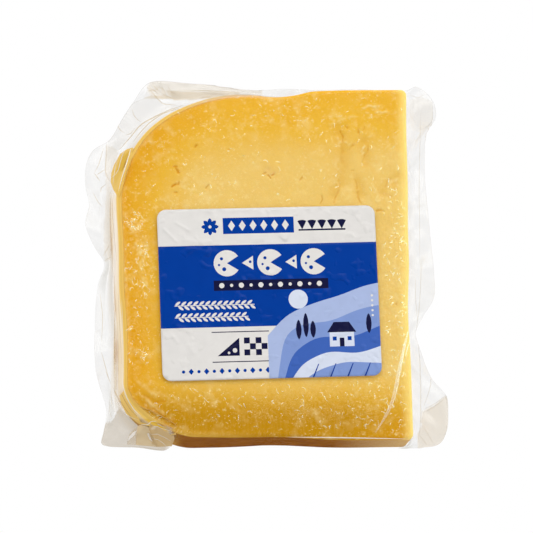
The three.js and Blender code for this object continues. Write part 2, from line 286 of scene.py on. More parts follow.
def skin_faces(ring_count, station_count):
    """The faces of a closed skin: a fan, rings of quads, and a fan."""
    ring = np.arange(ring_count - 1)[:, None] * station_count + 1
    here = np.arange(station_count)
    there = (here + 1) % station_count
    quads = np.stack(
        [ring + here, ring + station_count + here, ring + station_count + there, ring + there],
        axis=-1,
    ).reshape(-1, 4)
    last = ring_count * station_count + 1
    rim = last - station_count
    first_fan = [(0, 1 + int(a), 1 + int(b)) for a, b in zip(here, there)]
    last_fan = [(rim + int(a), last, rim + int(b)) for a, b in zip(here, there)]
    return first_fan + quads.tolist() + last_fan


def add_point_values(piece, name, values):
    attribute = piece.data.attributes.new(name, "FLOAT", "POINT")
    attribute.data.foreach_set("value", np.asarray(values, np.float32))


# The chunk's outline and its sides


CORNER_POINTS = 40


def round_corner(start, corner, end, fullness):
    """A rounded corner of the outline: 0.55 is an ellipse and less is nearer a chamfer."""
    start, corner, end = (np.array(p, float) for p in (start, corner, end))
    first = start + (corner - start) * fullness
    second = end + (corner - end) * fullness
    t = np.linspace(0, 1, CORNER_POINTS)[:, None]
    return (
        (1 - t) ** 3 * start
        + 3 * (1 - t) ** 2 * t * first
        + 3 * (1 - t) * t**2 * second
        + t**3 * end
    )


def face_outline(count):
    """The outline of the cheese's face, anticlockwise from the lower right, evenly spaced."""
    trim_top, rim_bottom, top_left = RIGHT - TRIM_LEAN, LEFT + RIM_LEAN, TOP - TOP_FALL
    trim, upper, lower = TRIM_CORNER, UPPER_SHOULDER, LOWER_SHOULDER
    path = np.vstack([
        round_corner(
            (trim_top, TOP - trim["down"]),
            (trim_top, TOP),
            (trim_top - trim["along"], TOP),
            trim["fullness"],
        ),
        round_corner(
            (LEFT + upper["along"], top_left),
            (LEFT, top_left),
            (LEFT, top_left - upper["down"]),
            upper["fullness"],
        ),
        round_corner(
            (rim_bottom, BOTTOM + lower["down"]),
            (rim_bottom, BOTTOM),
            (rim_bottom + lower["along"], BOTTOM),
            lower["fullness"],
        ),
        round_corner(
            (RIGHT - trim["along"], BOTTOM),
            (RIGHT, BOTTOM),
            (RIGHT, BOTTOM + trim["down"]),
            trim["fullness"],
        ),
    ])
    path = np.vstack([path[-1:], path])
    run = np.concatenate([[0], np.cumsum(np.hypot(*np.diff(path, axis=0).T))])
    at = np.linspace(0, run[-1], count, endpoint=False)
    return np.column_stack([np.interp(at, run, path[:, k]) for k in (0, 1)])


def plane_height(x):
    """The height of the film over the face, which slopes down to the trimmed side."""
    return RIM_THICKNESS - (x - LEFT) * SLICE_SLOPE


def knife_stray(outline):
    """How far the knife strayed from the straight outline."""
    x, y = outline.T
    bulge = RIM_BULGE["height"] * np.exp(-(((y - RIM_BULGE["y"]) / RIM_BULGE["width"]) ** 2))
    hollow = TRIM_HOLLOW * np.sin(math.pi * (y - BOTTOM) / WHEEL_HEIGHT)
    step = TOP_STEP["height"] * smooth_step(TOP_STEP["from"], TOP_STEP["to"], x)
    return np.column_stack([np.where(x < 0, -bulge, -hollow), step * smooth_step(0, 40, y)])


def make_stations(count):
    """What the rings of the cheese and of the film need to know round the outline."""
    outline = face_outline(count)
    out = outline / np.hypot(*outline.T)[:, None]
    angle = np.arctan2(out[:, 1], out[:, 0])
    waver = EDGE_WAVER * (np.sin(5 * angle + 0.4) + 0.6 * np.sin(11 * angle + 1.9))
    dip = TOP_DIP["depth"] * np.exp(-(((outline[:, 0] - TOP_DIP["x"]) / TOP_DIP["width"]) ** 2))
    face = outline + out * (waver - dip * (outline[:, 1] > 0))[:, None] + knife_stray(outline)
    return SimpleNamespace(
        count=count,
        face=face,
        out=out,
        angle=angle,
        height=plane_height(face[:, 0]),
    )


def side_ring(stations, z, inwards=0.0):
    """A ring round the chunk's side. The side leans, and the rim splays out towards the back."""
    below = stations.height - z
    lean = below * math.tan(math.atan(SLICE_SLOPE) / 2)
    splay = RIM_SPLAY * below / stations.height * np.maximum(0, -stations.out[:, 0])
    plan = stations.face + stations.out * (splay - inwards)[:, None]
    return np.column_stack([plan[:, 0] - lean, plan[:, 1], np.broadcast_to(z, plan[:, 0].shape)])


def outside_seat(x, y):
    """0 on the label's seat and 1 away from it."""
    dx, dy = x - LABEL_PLACE["x"], y - LABEL_PLACE["y"]
    cos, sin = math.cos(LABEL_PLACE["turn"]), math.sin(LABEL_PLACE["turn"])
    beyond = np.maximum(
        np.abs(dx * cos + dy * sin) - LABEL["width"] / 2,
        np.abs(dy * cos - dx * sin) - LABEL["height"] / 2,
    )
    return smooth_step(LABEL_SEAT["margin"], LABEL_SEAT["margin"] + LABEL_SEAT["fade"], beyond)


def tear_depth(x, y):
    """How deep the broad hollows are, away from the label's seat."""
    depth = np.zeros_like(x)
    for start, end, half_width, deepest in TEARS:
        away = distance_to_line(x, y, start, end) / half_width
        depth = np.maximum(depth, deepest * np.exp(-away * away))
    return depth * outside_seat(x, y)


# The cheese

CHEESE_STATIONS = 840
COVERED_RINGS = 16  # under the label
COVERED_SHARE = 0.28  # of the way from the middle to the edge
CHEESE_FACE_RINGS = 140
CHEESE_EDGE_RINGS = 6
CHEESE_WALL_RINGS = 26
CHEESE_BASE_RINGS = 4
TRIM_CLEARANCE = 1.2  # the rind ends this far short of the trimmed side
GRAIN = 0.05  # the wire-cut face's fine unevenness
RIND_WEAR = 0.22  # how uneven the rind is


def line_band(x, y, points, half_width):
    """1 along a bent line, and less beside it and past its ends."""
    nearest = np.full_like(x, 1e9)
    for start, end in zip(points, points[1:]):
        nearest = np.minimum(nearest, distance_to_line(x, y, start, end))
    return np.exp(-((nearest / half_width) ** 2))


def pit_depth(x, y):
    """How deep the small pits are."""
    depth = np.zeros_like(x)
    for place, length, half_width, turn, deepest in PITS:
        dx = length / 2 * math.cos(math.radians(turn))
        dy = length / 2 * math.sin(math.radians(turn))
        start, end = (place[0] - dx, place[1] - dy), (place[0] + dx, place[1] + dy)
        away = distance_to_line(x, y, start, end) / half_width
        depth = np.maximum(depth, deepest * np.exp(-(away**2)))
    return depth


def cheese_face(x, y):
    """The face's height, how torn and how deeply pitted it is, and how strong its ridges' painted
    highlight is.
    """
    bent_x = x + 0.35 * smooth_noise(x, y, 1.5, SEED)
    bent_y = y + 0.35 * smooth_noise(x, y, 1.5, SEED + 1)
    broken_up = 0.75 + 0.45 * smooth_noise(x, y, 1.0, SEED + 7)
    tears = tear_depth(bent_x, bent_y)
    pits = pit_depth(x + 0.3 * smooth_noise(x, y, 0.8, SEED + 2), y)
    for points, half_width, depth in CRACKS:
        pits = np.maximum(pits, depth * broken_up * line_band(bent_x, bent_y, points, half_width))
    pale = np.zeros_like(x)
    for points, half_width, strength in PALE_LINES:
        pale = np.maximum(pale, strength * line_band(bent_x, bent_y, points, half_width))
    pale = pale * (0.6 + 0.8 * smooth_noise(x, y, 0.7, SEED + 8))
    grain = GRAIN * (1 + smooth_noise(x, y, 1.7, SEED + 3) + 0.5 * smooth_noise(x, y, 0.6, SEED + 4))
    depth = 0.45 * tears + 0.4 * pits + np.maximum(0, grain) - 0.2 * np.maximum(0, pale)
    return plane_height(x) - FILM_GAP - depth, tears, pits, pale


def cheese_rings(stations):
    """The cheese's skin from the middle of its face, over its edge and side, to its back."""
    rings, looks = [], []
    top_inset = FILM_GAP + CHEESE_ROUNDING

    def add(ring, *look):
        rings.append(ring)
        looks.append(look or np.zeros((3, stations.count)))

    edge = side_ring(stations, stations.height, top_inset)
    covered = np.linspace(0.01, COVERED_SHARE, COVERED_RINGS, endpoint=False)
    for share in [*covered, *np.linspace(COVERED_SHARE, 1, CHEESE_FACE_RINGS)]:
        x, y = edge[:, 0] * share, edge[:, 1] * share
        z, *look = cheese_face(x, y)
        add(np.column_stack([x, y, z]), *look)
    for turn in np.linspace(0, math.pi / 2, CHEESE_EDGE_RINGS + 1)[1:]:
        drop = CHEESE_ROUNDING * (1 - math.cos(turn))
        inset = FILM_GAP + CHEESE_ROUNDING * (1 - math.sin(turn))
        ring = side_ring(stations, stations.height - FILM_GAP - drop, inset)
        z, *look = cheese_face(ring[:, 0], ring[:, 1])
        ring[:, 2] = z - drop
        add(ring, *look)
    under_edge = stations.height - FILM_GAP - CHEESE_ROUNDING
    floor = FILM_GAP + BASE_ROUNDING
    way_round = np.arange(stations.count) / stations.count
    for share in np.linspace(0, 1, CHEESE_WALL_RINGS)[1:]:
        z = under_edge * (1 - share) + floor * share
        u = stations.angle * 40
        wear = RIND_WEAR * (0.5 + 0.5 * smooth_noise(u, z, 3.0, SEED + 5))
        wear = wear + 0.3 * RIND_WEAR * (1 + smooth_noise(u, z, 0.9, SEED + 6))
        seam_fade = smooth_step(0, 0.02, np.minimum(way_round, 1 - way_round))
        add(side_ring(stations, z, FILM_GAP + wear * share * (1 - share) * 4 * seam_fade))
    for turn in np.linspace(0, math.pi / 2, CHEESE_BASE_RINGS + 1)[1:]:
        inset = FILM_GAP + BASE_ROUNDING * (1 - math.cos(turn))
        add(side_ring(stations, FILM_GAP + BASE_ROUNDING * (1 - math.sin(turn)), inset))
    back = side_ring(stations, FILM_GAP, FILM_GAP + BASE_ROUNDING)
    for share in (0.8, 0.5, 0.2):
        add(np.column_stack([back[:, :2] * share, back[:, 2]]))
    return rings, np.array(looks)


def rind_distances(points, stations):
    """How far each point is, in plan, from the sides that have rind."""
    ring = side_ring(stations, stations.height)
    has_rind = stations.face[:, 0] < RIGHT - TRIM_LEAN - TRIM_CLEARANCE
    tree = KDTree(int(has_rind.sum()))
    for i, place in enumerate(ring[has_rind]):
        tree.insert((place[0], place[1], 0), i)
    tree.balance()
    return np.array([tree.find((x, y, 0))[2] for x, y, _ in points])


def trim_distances(points, stations):
    """How far each point is, across the slice, from the trimmed side."""
    trimmed = stations.face[stations.face[:, 0] > 30]
    order = np.argsort(trimmed[:, 1])
    edge = np.interp(points[:, 1], trimmed[order, 1], trimmed[order, 0])
    return np.clip(edge - points[:, 0], 0, 100)


def curl_glint_strength(x, y):
    """How strongly the painted highlight curls show, fading in over the last few millimetres of each
    patch.
    """
    curl_glints = np.zeros_like(x)
    for (left, low), (right, high), strength in CURL_GLINT_PATCHES:
        across = smooth_step(left - 3, left + 1, x) * smooth_step(right + 3, right - 1, x)
        upwards = smooth_step(low - 3, low + 1, y) * smooth_step(high + 4, high - 1, y)
        curl_glints = np.maximum(curl_glints, strength * across * upwards)
    return curl_glints


def make_cheese(material):
    stations = make_stations(CHEESE_STATIONS)
    rings, looks = cheese_rings(stations)
    points = np.vstack([[(0, 0, rings[0][:, 2].mean())], *rings, [(0, 0, FILM_GAP)]])
    faces = skin_faces(len(rings), stations.count)
    cheese = make_piece("cheese", points, faces, [material])
    for k, name in enumerate(("torn", "pitted", "pale")):
        add_point_values(cheese, name, np.concatenate([[0], looks[:, k].ravel(), [0]]))
    x, y, z = points.T
    add_point_values(cheese, "under_face", plane_height(x) - z)
    add_point_values(cheese, "from_rind", rind_distances(points, stations))
    add_point_values(cheese, "from_trim", trim_distances(points, stations))
    add_point_values(cheese, "curl_glints", curl_glint_strength(x, y))
    return cheese


# The film

FILM_TEAR_SHARE = 0.3  # the tight film spans the tears and only sinks into them this much
FILM_STATIONS = 840
FILM_FACE_RINGS = 44
FILM_EDGE_RINGS = 8
FILM_WALL_RINGS = 9
TIGHT_RINGS = FILM_FACE_RINGS + FILM_EDGE_RINGS + FILM_WALL_RINGS - 1
WEB_RINGS = 16
MARGIN_RINGS = 28
UPPER_RINGS = TIGHT_RINGS + WEB_RINGS + MARGIN_RINGS  # with the lower film's cut edge
BACK_SHARES = (1, 0.7, 0.35)  # the rings under the back, as shares of its outline

CROSS_FOLDS = 60  # pleats that run outwards from the cheese
LONG_FOLDS = 40  # wrinkles that run along its sides
FOLD_TAPER = 2.5
FACE_FOLD_SHARE = 0.3  # a fold that reaches the face is pulled nearly flat
# Painted light: this much of the cheese's yellow light is painted into the loose film next to it.
CHEESE_LIGHT_BESIDE = 0.22  # how much of the cheese's yellow the film picks up next to it
MILK = 0.04  # how cloudy the loose film is
FILM_PATCHES = [
    # outline of a patch where the film is doubled or lies by the cheese, how much more of the cheese's
    # painted yellow light it gets, how much milkier it is, and how much painted shade it gets
    ([(-36.5, 57.5), (-35.3, 60.5), (-20.2, 60.5), (-1, 60.5), (-1, 55.1), (-32.5, 53.8),
      (-35.6, 54.7)], 0.1, 0.0, 0.02),
    ([(-31, 56.9), (-20.2, 56.6), (-7.8, 56.7), (-7.8, 54.2), (-37.6, 53.8), (-35.6, 54.7),
      (-29.1, 54.7)], 0.16, 0.0, 0.02),
    ([(47.9, -42.7), (51.5, -41), (55.8, -37.4), (58, -42), (58, -47.2), (57, -52.5),
      (51.5, -56), (46.6, -56), (46.1, -50.3), (47.3, -46.9)], 0.14, 0.02, 0.0),
    ([(44.4, 54.4), (48.1, 54.7), (51.4, 53.5), (51.5, 47.8), (50.9, 44.9), (47.7, 43.7),
      (44.3, 45.2)], 0.05, 0.0, 0.0),
    ([(-52, -46.8), (-46.5, -45.9), (-44.4, -41.9), (-39.9, -45.9), (-35, -48), (-27.1, -52),
      (-28.3, -56.3), (-35, -57), (-41, -57), (-50, -57), (-53, -52.6)], 0.1, 0.04, 0.16),
    ([(-49, 40.2), (-45, 37.7), (-47.1, 31.1), (-47.8, 27.6), (-47.3, 11.4), (-46.6, 4),
      (-49.2, 3), (-49.4, 9.8), (-49.2, 17.6), (-48.9, 25.4), (-49.3, 31.1)], 0.08, 0.04, 0.0),
]


def film_edge_radius(angles):
    """How far the film's cut edge is from the middle in each direction."""
    knots = np.array(FILM_EDGE)
    before, after = np.roll(knots, 1, axis=0), np.roll(knots, -1, axis=0)
    beyond = np.roll(knots, -2, axis=0)
    gaps = [np.hypot(*(b - a).T)[:, None] ** 0.5 for a, b in
            ((before, knots), (knots, after), (after, beyond))]
    start = (knots - before) / gaps[0] - (after - before) / (gaps[0] + gaps[1])
    start = (start + (after - knots) / gaps[1]) * gaps[1]
    end = (after - knots) / gaps[1] - (beyond - knots) / (gaps[1] + gaps[2])
    end = (end + (beyond - after) / gaps[2]) * gaps[1]
    curve = []
    for t in np.linspace(0, 1, 24, endpoint=False):
        rise = t * t * (3 - 2 * t)
        curve.append(
            knots * (1 - rise) + after * rise + start * (t * (1 - t) ** 2) - end * (t * t * (1 - t))
        )
    curve = np.array(curve).transpose(1, 0, 2).reshape(-1, 2)
    around = np.arctan2(curve[:, 1], curve[:, 0])
    return np.interp(angles, around, np.hypot(*curve.T), period=2 * math.pi)


def film_stations(count):
    """What the film's margin needs to know besides: its heights, its pleats and its width."""
    stations = make_stations(count)
    stations.seam = SEAM_HEIGHT * stations.height
    stations.web = WEB_HEIGHT * stations.height
    waves = sum(h * np.sin(n * stations.angle + turn) for n, h, turn in MARGIN_WAVES)
    stations.edge_height = np.maximum(LOWEST_MARGIN, DROOPED_HEIGHT + waves)
    length = np.hypot(*(np.roll(face_outline(count), -1, axis=0) - face_outline(count)).T).sum()
    way = 2 * math.pi * np.arange(count) / count * length / PLEAT_LENGTH
    stations.pleat = PLEAT_DEPTH * np.sin(way + 1.4 * np.sin(way / 7))
    seam = side_ring(stations, stations.seam)
    reach = film_edge_radius(stations.angle) - np.hypot(seam[:, 0], seam[:, 1])
    stations.margin = np.maximum(LEAST_MARGIN, reach)
    return stations


def margin_ring(stations, share, side):
    """A ring of the margin: share 0 at the seam and 1 at the cut edge, side 1 on the upper film."""
    ring = side_ring(stations, stations.seam)
    ring[:, :2] += stations.out * (share * stations.margin)[:, None]
    flat = stations.seam + (stations.edge_height - stations.seam) * smooth_step(0, 1, share)
    reach = np.minimum(1, stations.margin / PLEAT_LENGTH)
    height = flat + stations.pleat * reach * math.sin(math.pi * share)
    ring[:, 2] = np.maximum(LOWEST_MARGIN, height) + side * FILM_LAYERS / 2
    return ring


def web_ring(stations, turn, side):
    """The film bridges from the cheese's side to the margin along a quarter of an ellipse."""
    start = stations.seam + side * np.minimum(stations.web, stations.seam - BASE_ROUNDING)
    end = margin_ring(stations, WEB_REACH, side)
    wall = side_ring(stations, start + (end[:, 2] - start) * math.sin(turn))
    out = 1 - math.cos(turn)
    wall[:, :2] += (end[:, :2] - wall[:, :2]) * out
    return wall


def film_rings(stations):
    """The film's skin from the middle of the face, over the side and the margin, to the back."""
    rings = []
    for share in np.linspace(0.03, 0.965, FILM_FACE_RINGS):
        x, y = stations.face[:, 0] * share, stations.face[:, 1] * share
        rings.append(np.column_stack([x, y, plane_height(x) - FILM_TEAR_SHARE * tear_depth(x, y)]))
    for turn in np.linspace(0, math.pi / 2, FILM_EDGE_RINGS):
        drop = FILM_ROUNDING * (1 - math.cos(turn))
        ring = side_ring(stations, stations.height - drop, FILM_ROUNDING * (1 - math.sin(turn)))
        sunk = FILM_TEAR_SHARE * tear_depth(ring[:, 0], ring[:, 1])
        ring[:, 2] = plane_height(ring[:, 0]) - sunk - drop
        rings.append(ring)
    high = stations.height - FILM_ROUNDING
    for share in np.linspace(0, 1, FILM_WALL_RINGS, endpoint=False)[1:]:
        rings.append(side_ring(stations, high + (stations.seam + stations.web - high) * share))
    for turn in np.linspace(0, math.pi / 2, WEB_RINGS):
        rings.append(web_ring(stations, turn, 1))
    for share in np.linspace(WEB_REACH, 1, MARGIN_RINGS)[1:]:
        rings.append(margin_ring(stations, share, 1))
    for share in np.linspace(1, WEB_REACH, MARGIN_RINGS)[:-1]:
        rings.append(margin_ring(stations, share, -1))
    for turn in np.linspace(math.pi / 2, 0, WEB_RINGS)[:-1]:
        rings.append(web_ring(stations, turn, -1))
    for share in BACK_SHARES:
        back = side_ring(stations, 0.0, BASE_ROUNDING)
        rings.append(np.column_stack([back[:, :2] * share, back[:, 2]]))
    return np.array(rings)


def scattered_folds(stations, rng):
    """Pleats across the margin and wrinkles along it, by a rule with seeded draws."""
    folds = []
    seam = side_ring(stations, stations.seam)
    for _ in range(CROSS_FOLDS):
        i = rng.integers(stations.count)
        skew = rng.normal(0, 0.35)
        way = stations.out[i] + skew * np.array([-stations.out[i][1], stations.out[i][0]])
        start = seam[i, :2] + way * rng.uniform(-0.5, 1.5)
        end = start + way * max(2.5, stations.margin[i] * rng.uniform(0.5, 1.1))
        folds.append((start, end, rng.uniform(0.7, 1.5), rng.choice([-1, 1]) * rng.uniform(0.05, 0.18)))
    for _ in range(LONG_FOLDS):
        i = rng.integers(stations.count)
        j = (i + rng.integers(12, 50)) % stations.count
        out = rng.uniform(0.0, 0.5) * stations.margin[i]
        start = seam[i, :2] + stations.out[i] * out
        end = seam[j, :2] + stations.out[j] * (out + rng.normal(0, 0.5))
        folds.append((start, end, rng.uniform(0.5, 0.9), rng.choice([-1, 1]) * rng.uniform(0.05, 0.2)))
    return folds


def fold_lift(x, y, folds):
    """How far the folds lift the film: each is a ridge with a sharp crest."""
    bent_x = x + 0.9 * smooth_noise(x, y, 9.0, SEED + 20)
    bent_y = y + 0.9 * smooth_noise(x, y, 9.0, SEED + 21)
    lift = np.zeros_like(x)
    for start, end, half_width, height in folds:
        along, across, length = along_and_across(bent_x, bent_y, start, end)
        taper = smooth_step(0, FOLD_TAPER, along + 1) * smooth_step(0, FOLD_TAPER, length - along + 1)
        lift += height * taper * np.maximum(0, 1 - np.abs(across) / half_width)
    return lift


def ring_normals(rings):
    """The way the film faces at each point of its rings."""
    around = np.roll(rings, -1, axis=1) - np.roll(rings, 1, axis=1)
    outwards = np.gradient(rings, axis=0)
    normals = np.cross(outwards, around)
    return normals / np.maximum(1e-9, np.linalg.norm(normals, axis=2))[:, :, None]


def film_looks(stations, x, y, z):
    """Where the film is loose or milky, gets painted shade or a painted sheen, and has the cheese's yellow
    light painted in.
    """
    ring = np.arange(len(x))[:, None] - TIGHT_RINGS
    last = len(x) - len(BACK_SHARES) - TIGHT_RINGS
    loose = smooth_step(0, 0.6 * WEB_RINGS, np.minimum(ring, last - ring)) * np.ones_like(x)
    beyond = np.hypot(x, y) - np.hypot(*stations.face.T)[None, :]
    by_rim = smooth_step(10, -30, x)
    cheese_light = CHEESE_LIGHT_BESIDE * loose * (1 - smooth_step(1.5, 5.0, beyond)) * by_rim
    milk = MILK * loose
    painted_shade = np.zeros_like(x)
    bunched_sheen = np.zeros_like(x)
    under = plane_height(x) - z

    # Round the rim's shoulder the cheese's yellow light is painted into the film beside the face, with a
    # painted sheen where the view grazes it.
    beside_face = smooth_step(0.05, 0.4, under) * smooth_step(2.6, 0.5, beyond) * by_rim
    beside_face = beside_face * smooth_step(20, 27, y)
    cheese_light = cheese_light + 0.5 * beside_face
    bunched_sheen = bunched_sheen + 0.5 * beside_face

    # Along the rim's left side the film is bunched in lengthwise pleats, with a milky painted sheen at
    # grazing views and the cheese's yellow light painted in unevenly.
    outer = np.interp(y, (-46, -33.5, -12.5, 8.7, 27), (-47.6, -47.4, -46, -47.9, -48.2))
    beside = smooth_step(-38, -42, x) * smooth_step(0.1, 0.8, under) * smooth_step(outer, outer + 1.2, x)
    beside = beside * smooth_step(-46, -34, y) * smooth_step(27, 21, y)
    pleats = smooth_noise(x * 2.4, y * 0.1, 1.4, SEED + 60)
    uneven_light = smooth_noise(x * 2.4, y * 0.08, 1.1, SEED + 61)
    bunched_sheen = bunched_sheen + beside * (0.85 + 0.1 * pleats)
    near_face = smooth_step(3.2, 0.8, beyond)
    cheese_light = cheese_light + beside * np.clip(0.1 + 0.25 * near_face + 0.2 * uneven_light, 0, 1)

    # Right at the face's edge the cheese's painted yellow light is full, milky where the view grazes the
    # film, and it fades within a millimetre or two.
    lower_side = smooth_step(-47, -50, y) * smooth_step(-31, -27, x)
    reach = np.interp(y, (10, 30), (0.9, 2.4))
    yellow = smooth_step(reach, 0.2 * reach, beyond) * by_rim * (1 - lower_side)
    cheese_light = np.maximum(cheese_light, 0.92 * yellow)
    yellow = yellow * smooth_step(0.01, 0.2, under)
    milk = np.maximum(milk, 0.8 * yellow * smooth_step(3.4, 1.8, under))
    bunched_sheen = np.maximum(bunched_sheen, 0.9 * yellow)
    loose = np.maximum(loose, beside_face)
    for outline, more_cheese_light, more_milk, more_shade in FILM_PATCHES:
        patch = inside(outline, x, y) * smooth_step(0.3, 1.0, under)
        cheese_light = cheese_light + more_cheese_light * patch
        milk = milk + more_milk * patch
        painted_shade = painted_shade + more_shade * patch
        loose = np.maximum(loose, patch)

    # Under the lower side the film is drawn so tight that only the rind shows.
    tight = smooth_step(-51.4, -52.8, y) * smooth_step(-31, -28, x) * smooth_step(43, 40, x)
    values = {
        "loose": loose,
        "cheese_light": np.clip(cheese_light, 0, 1),
        "milk": np.clip(milk, 0, 0.9),
        "painted_shade": painted_shade,
        "bunched_sheen": np.clip(bunched_sheen, 0, 0.95),
    }
    return {name: value * (1 - tight) for name, value in values.items()}


def make_film(material):
    stations = film_stations(FILM_STATIONS)
    rings = film_rings(stations)
    rng = np.random.default_rng(SEED)
    folds = scattered_folds(stations, rng)
    x, y, z = rings[:, :, 0], rings[:, :, 1], rings[:, :, 2]
    lift = fold_lift(x, y, folds)
    lift *= outside_seat(x, y) * smooth_step(0, 1.5, z)
    ring = np.arange(len(rings))[:, None]
    lift = np.where(ring < FILM_FACE_RINGS + FILM_EDGE_RINGS, np.maximum(0, lift) * FACE_FOLD_SHARE, lift)
    towards = np.where(ring < UPPER_RINGS, 1, -1)[:, :, None]
    moved = rings + ring_normals(rings) * lift[:, :, None] * towards
    moved[:, :, 2] = np.maximum(moved[:, :, 2], 0)
    points = np.vstack([
        [(0, 0, plane_height(0))],
        moved.reshape(-1, 3),
        [(0, 0, 0)],
    ])
    faces = skin_faces(len(rings), stations.count)
    film = make_piece("film", points, faces, [material])
    for name, values in film_looks(stations, x, y, z).items():
        add_point_values(film, name, np.concatenate([[0], values.ravel(), [0]]))
    return film, points, faces


# Creases and wrinkles pinched up in the film, and flaps where it is folded over on itself.
# A crease or flap may have the cheese's yellow light painted into it, may be milky (crumpled white, or
# a painted white highlight), and may get painted shade where it lies in shade.

WRINKLES_PER_PATCH = [
    # lowest corner, highest corner, how many, way they mostly run in degrees
    ((34.4, -36), (41.8, 8), 90, 50),
    ((35, 8), (41.5, 24), 24, 30),
    ((28, -50.5), (42, -36), 36, 60),
    ((-4, -50.5), (28, -37.5), 60, 70),
    ((-36, -49), (-4, -38.5), 36, 80),
    ((-42.4, -34), (-34.5, 4), 80, 60),
    ((-42.2, 8), (-37.6, 14), 30, 60),
    ((-39, -2), (-36, 5.5), 16, -60),
    ((-40, 16), (10, 30), 22, 20),
    ((-36, 30), (12, 51), 44, 30),
    ((12, 22), (41.5, 52), 36, 50),
]
WRINKLE_POINTS = 8
WRINKLE_SECTION = [(-1, -0.6), (-0.62, 0.62), (0, 1), (0.62, 0.62), (1, -0.6)]
LEFT_MARGIN_CREASES = [
    # points along it, half width, height
    ([(-49, 40), (-49, 37.1), (-49.1, 33.6), (-49.3, 31.1), (-47.8, 27.6)], 0.16, 0.14),
    ([(-43.3, 42.6), (-41.4, 43.1), (-40.1, 44.6)], 0.12, 0.1),
    ([(-52.6, 30.7), (-51.3, 33.3), (-49.8, 39.1)], 0.14, 0.12),
    ([(-52.6, 30.7), (-50.8, 28.2)], 0.16, 0.12),
    ([(-51.9, 30.1), (-49.3, 31.7)], 0.14, 0.12),
    ([(-50.5, 24.4), (-50.5, 26.1), (-48.8, 27.2)], 0.14, 0.12),
    ([(-36.7, 57.8), (-33.3, 53.9), (-31.7, 52.1), (-27.6, 52)], 0.16, 0.14),
    ([(-32, 59.1), (-31.7, 55.2), (-26.3, 53.6)], 0.14, 0.12),
    ([(-35.8, 57.4), (-32.6, 55.2)], 0.12, 0.1),
    ([(-34.8, 58.4), (-32.1, 55.5)], 0.12, 0.1),
    ([(-41.1, 50.7), (-40.6, 48.7), (-39.5, 47.1), (-38.2, 46.5)], 0.12, 0.1),
    ([(-49.7, 4.7), (-47.7, 7.9)], 0.12, 0.1),
    ([(-49.2, 3.6), (-47, 4.4)], 0.12, 0.1),
    ([(-49.9, -25), (-47.7, -32.8)], 0.14, 0.1),
    ([(-48.6, -30.6), (-47, -34.7)], 0.14, 0.1),
    ([(-33.8, 57.9), (-31.4, 57.2), (-30.6, 55.2), (-33, 54.6)], 0.14, 0.12),
    ([(-36.2, 56.4), (-33.6, 56.6), (-32.4, 58.6)], 0.12, 0.1),
    ([(-30.2, 58.6), (-29.2, 56.4), (-26.8, 55.2)], 0.12, 0.1),
    ([(-27.4, 57.2), (-18, 56.9), (-8, 56.6)], 0.12, 0.1),
    ([(-52.9, 24.8), (-51.4, 21.6), (-49.8, 19.8)], 0.12, 0.1),
    ([(-50.6, -6), (-49.6, -14), (-49.9, -22)], 0.12, 0.08),
    ([(-46.2, 46.6), (-44.6, 44.2), (-43.4, 43.4)], 0.12, 0.1),
]
RIGHT_MARGIN_CREASES = [
    ([(48, 51), (47.6, 42.3), (47.4, 22.6), (47.3, 3.9)], 0.12, 0.1),
    ([(47.7, 3.9), (47.4, -7.7), (47, -12.3), (46, -18.7)], 0.14, 0.12),
    ([(45.9, -1.9), (46.1, -9.6), (46.8, -15.3)], 0.12, 0.1),
    ([(51.4, 53.5), (51.5, 47.7), (50.9, 45.2), (50, 40.1)], 0.14, 0.12),
    ([(44.3, 56), (47.1, 54.6), (49.3, 55.8)], 0.12, 0.1),
    ([(50.4, -31.8), (50.4, -34.5), (49.4, -37.9), (48.1, -41.4)], 0.14, 0.12),
    ([(48.1, -42.1), (51.5, -40.6), (55.3, -37.5)], 0.16, 0.16),
    ([(47.9, -43.3), (51.5, -41.4), (55.3, -38.2)], 0.14, 0.14),
    ([(46.5, -49.7), (49.1, -53.1)], 0.14, 0.12),
    ([(47.7, -47.1), (51, -52.7)], 0.12, 0.1),
    ([(46.3, -20.9), (46.8, -23.9), (47.2, -28.9), (47.3, -38.4), (47.2, -46.1), (46.3, -53)], 0.2, 0.2),
]
RIM_CREASES = [
    ([(-25.1, 52), (-30.7, 49.7), (-34.5, 47.8), (-38.2, 45.9), (-42.6, 40.7), (-45.1, 37.7)], 0.17, 0.16),
    ([(-26.3, 51), (-32, 48.8), (-35.7, 46.2), (-38.9, 42.6), (-40.7, 40.4)], 0.14, 0.14),
    ([(-47.3, 25.4), (-47.5, 18.3), (-47.2, 10.5), (-46.4, 3.2)], 0.12, 0.1),
    ([(-46.6, 24.5), (-46.8, 18.3), (-46, 8.9), (-45.1, 1)], 0.12, 0.1),
    ([(-46.3, -9.4), (-45.8, -14.7), (-45.9, -21), (-46, -33.4)], 0.16, 0.12),
    ([(-44.6, -8.4), (-44.3, -14.7), (-43.9, -20.9), (-43.5, -30.3)], 0.1, 0.08),
    ([(-45, -14.7), (-44.7, -24.1), (-44.7, -33.4)], 0.1, 0.08),
    ([(-46.4, -35.4), (-45.1, -38.2), (-43.5, -41.6), (-41.3, -44.7), (-39.8, -46.6)], 0.18, 0.16),
    ([(-44.2, -37.3), (-42.6, -41), (-40.7, -44.1), (-38.2, -46.3)], 0.18, 0.16),
]
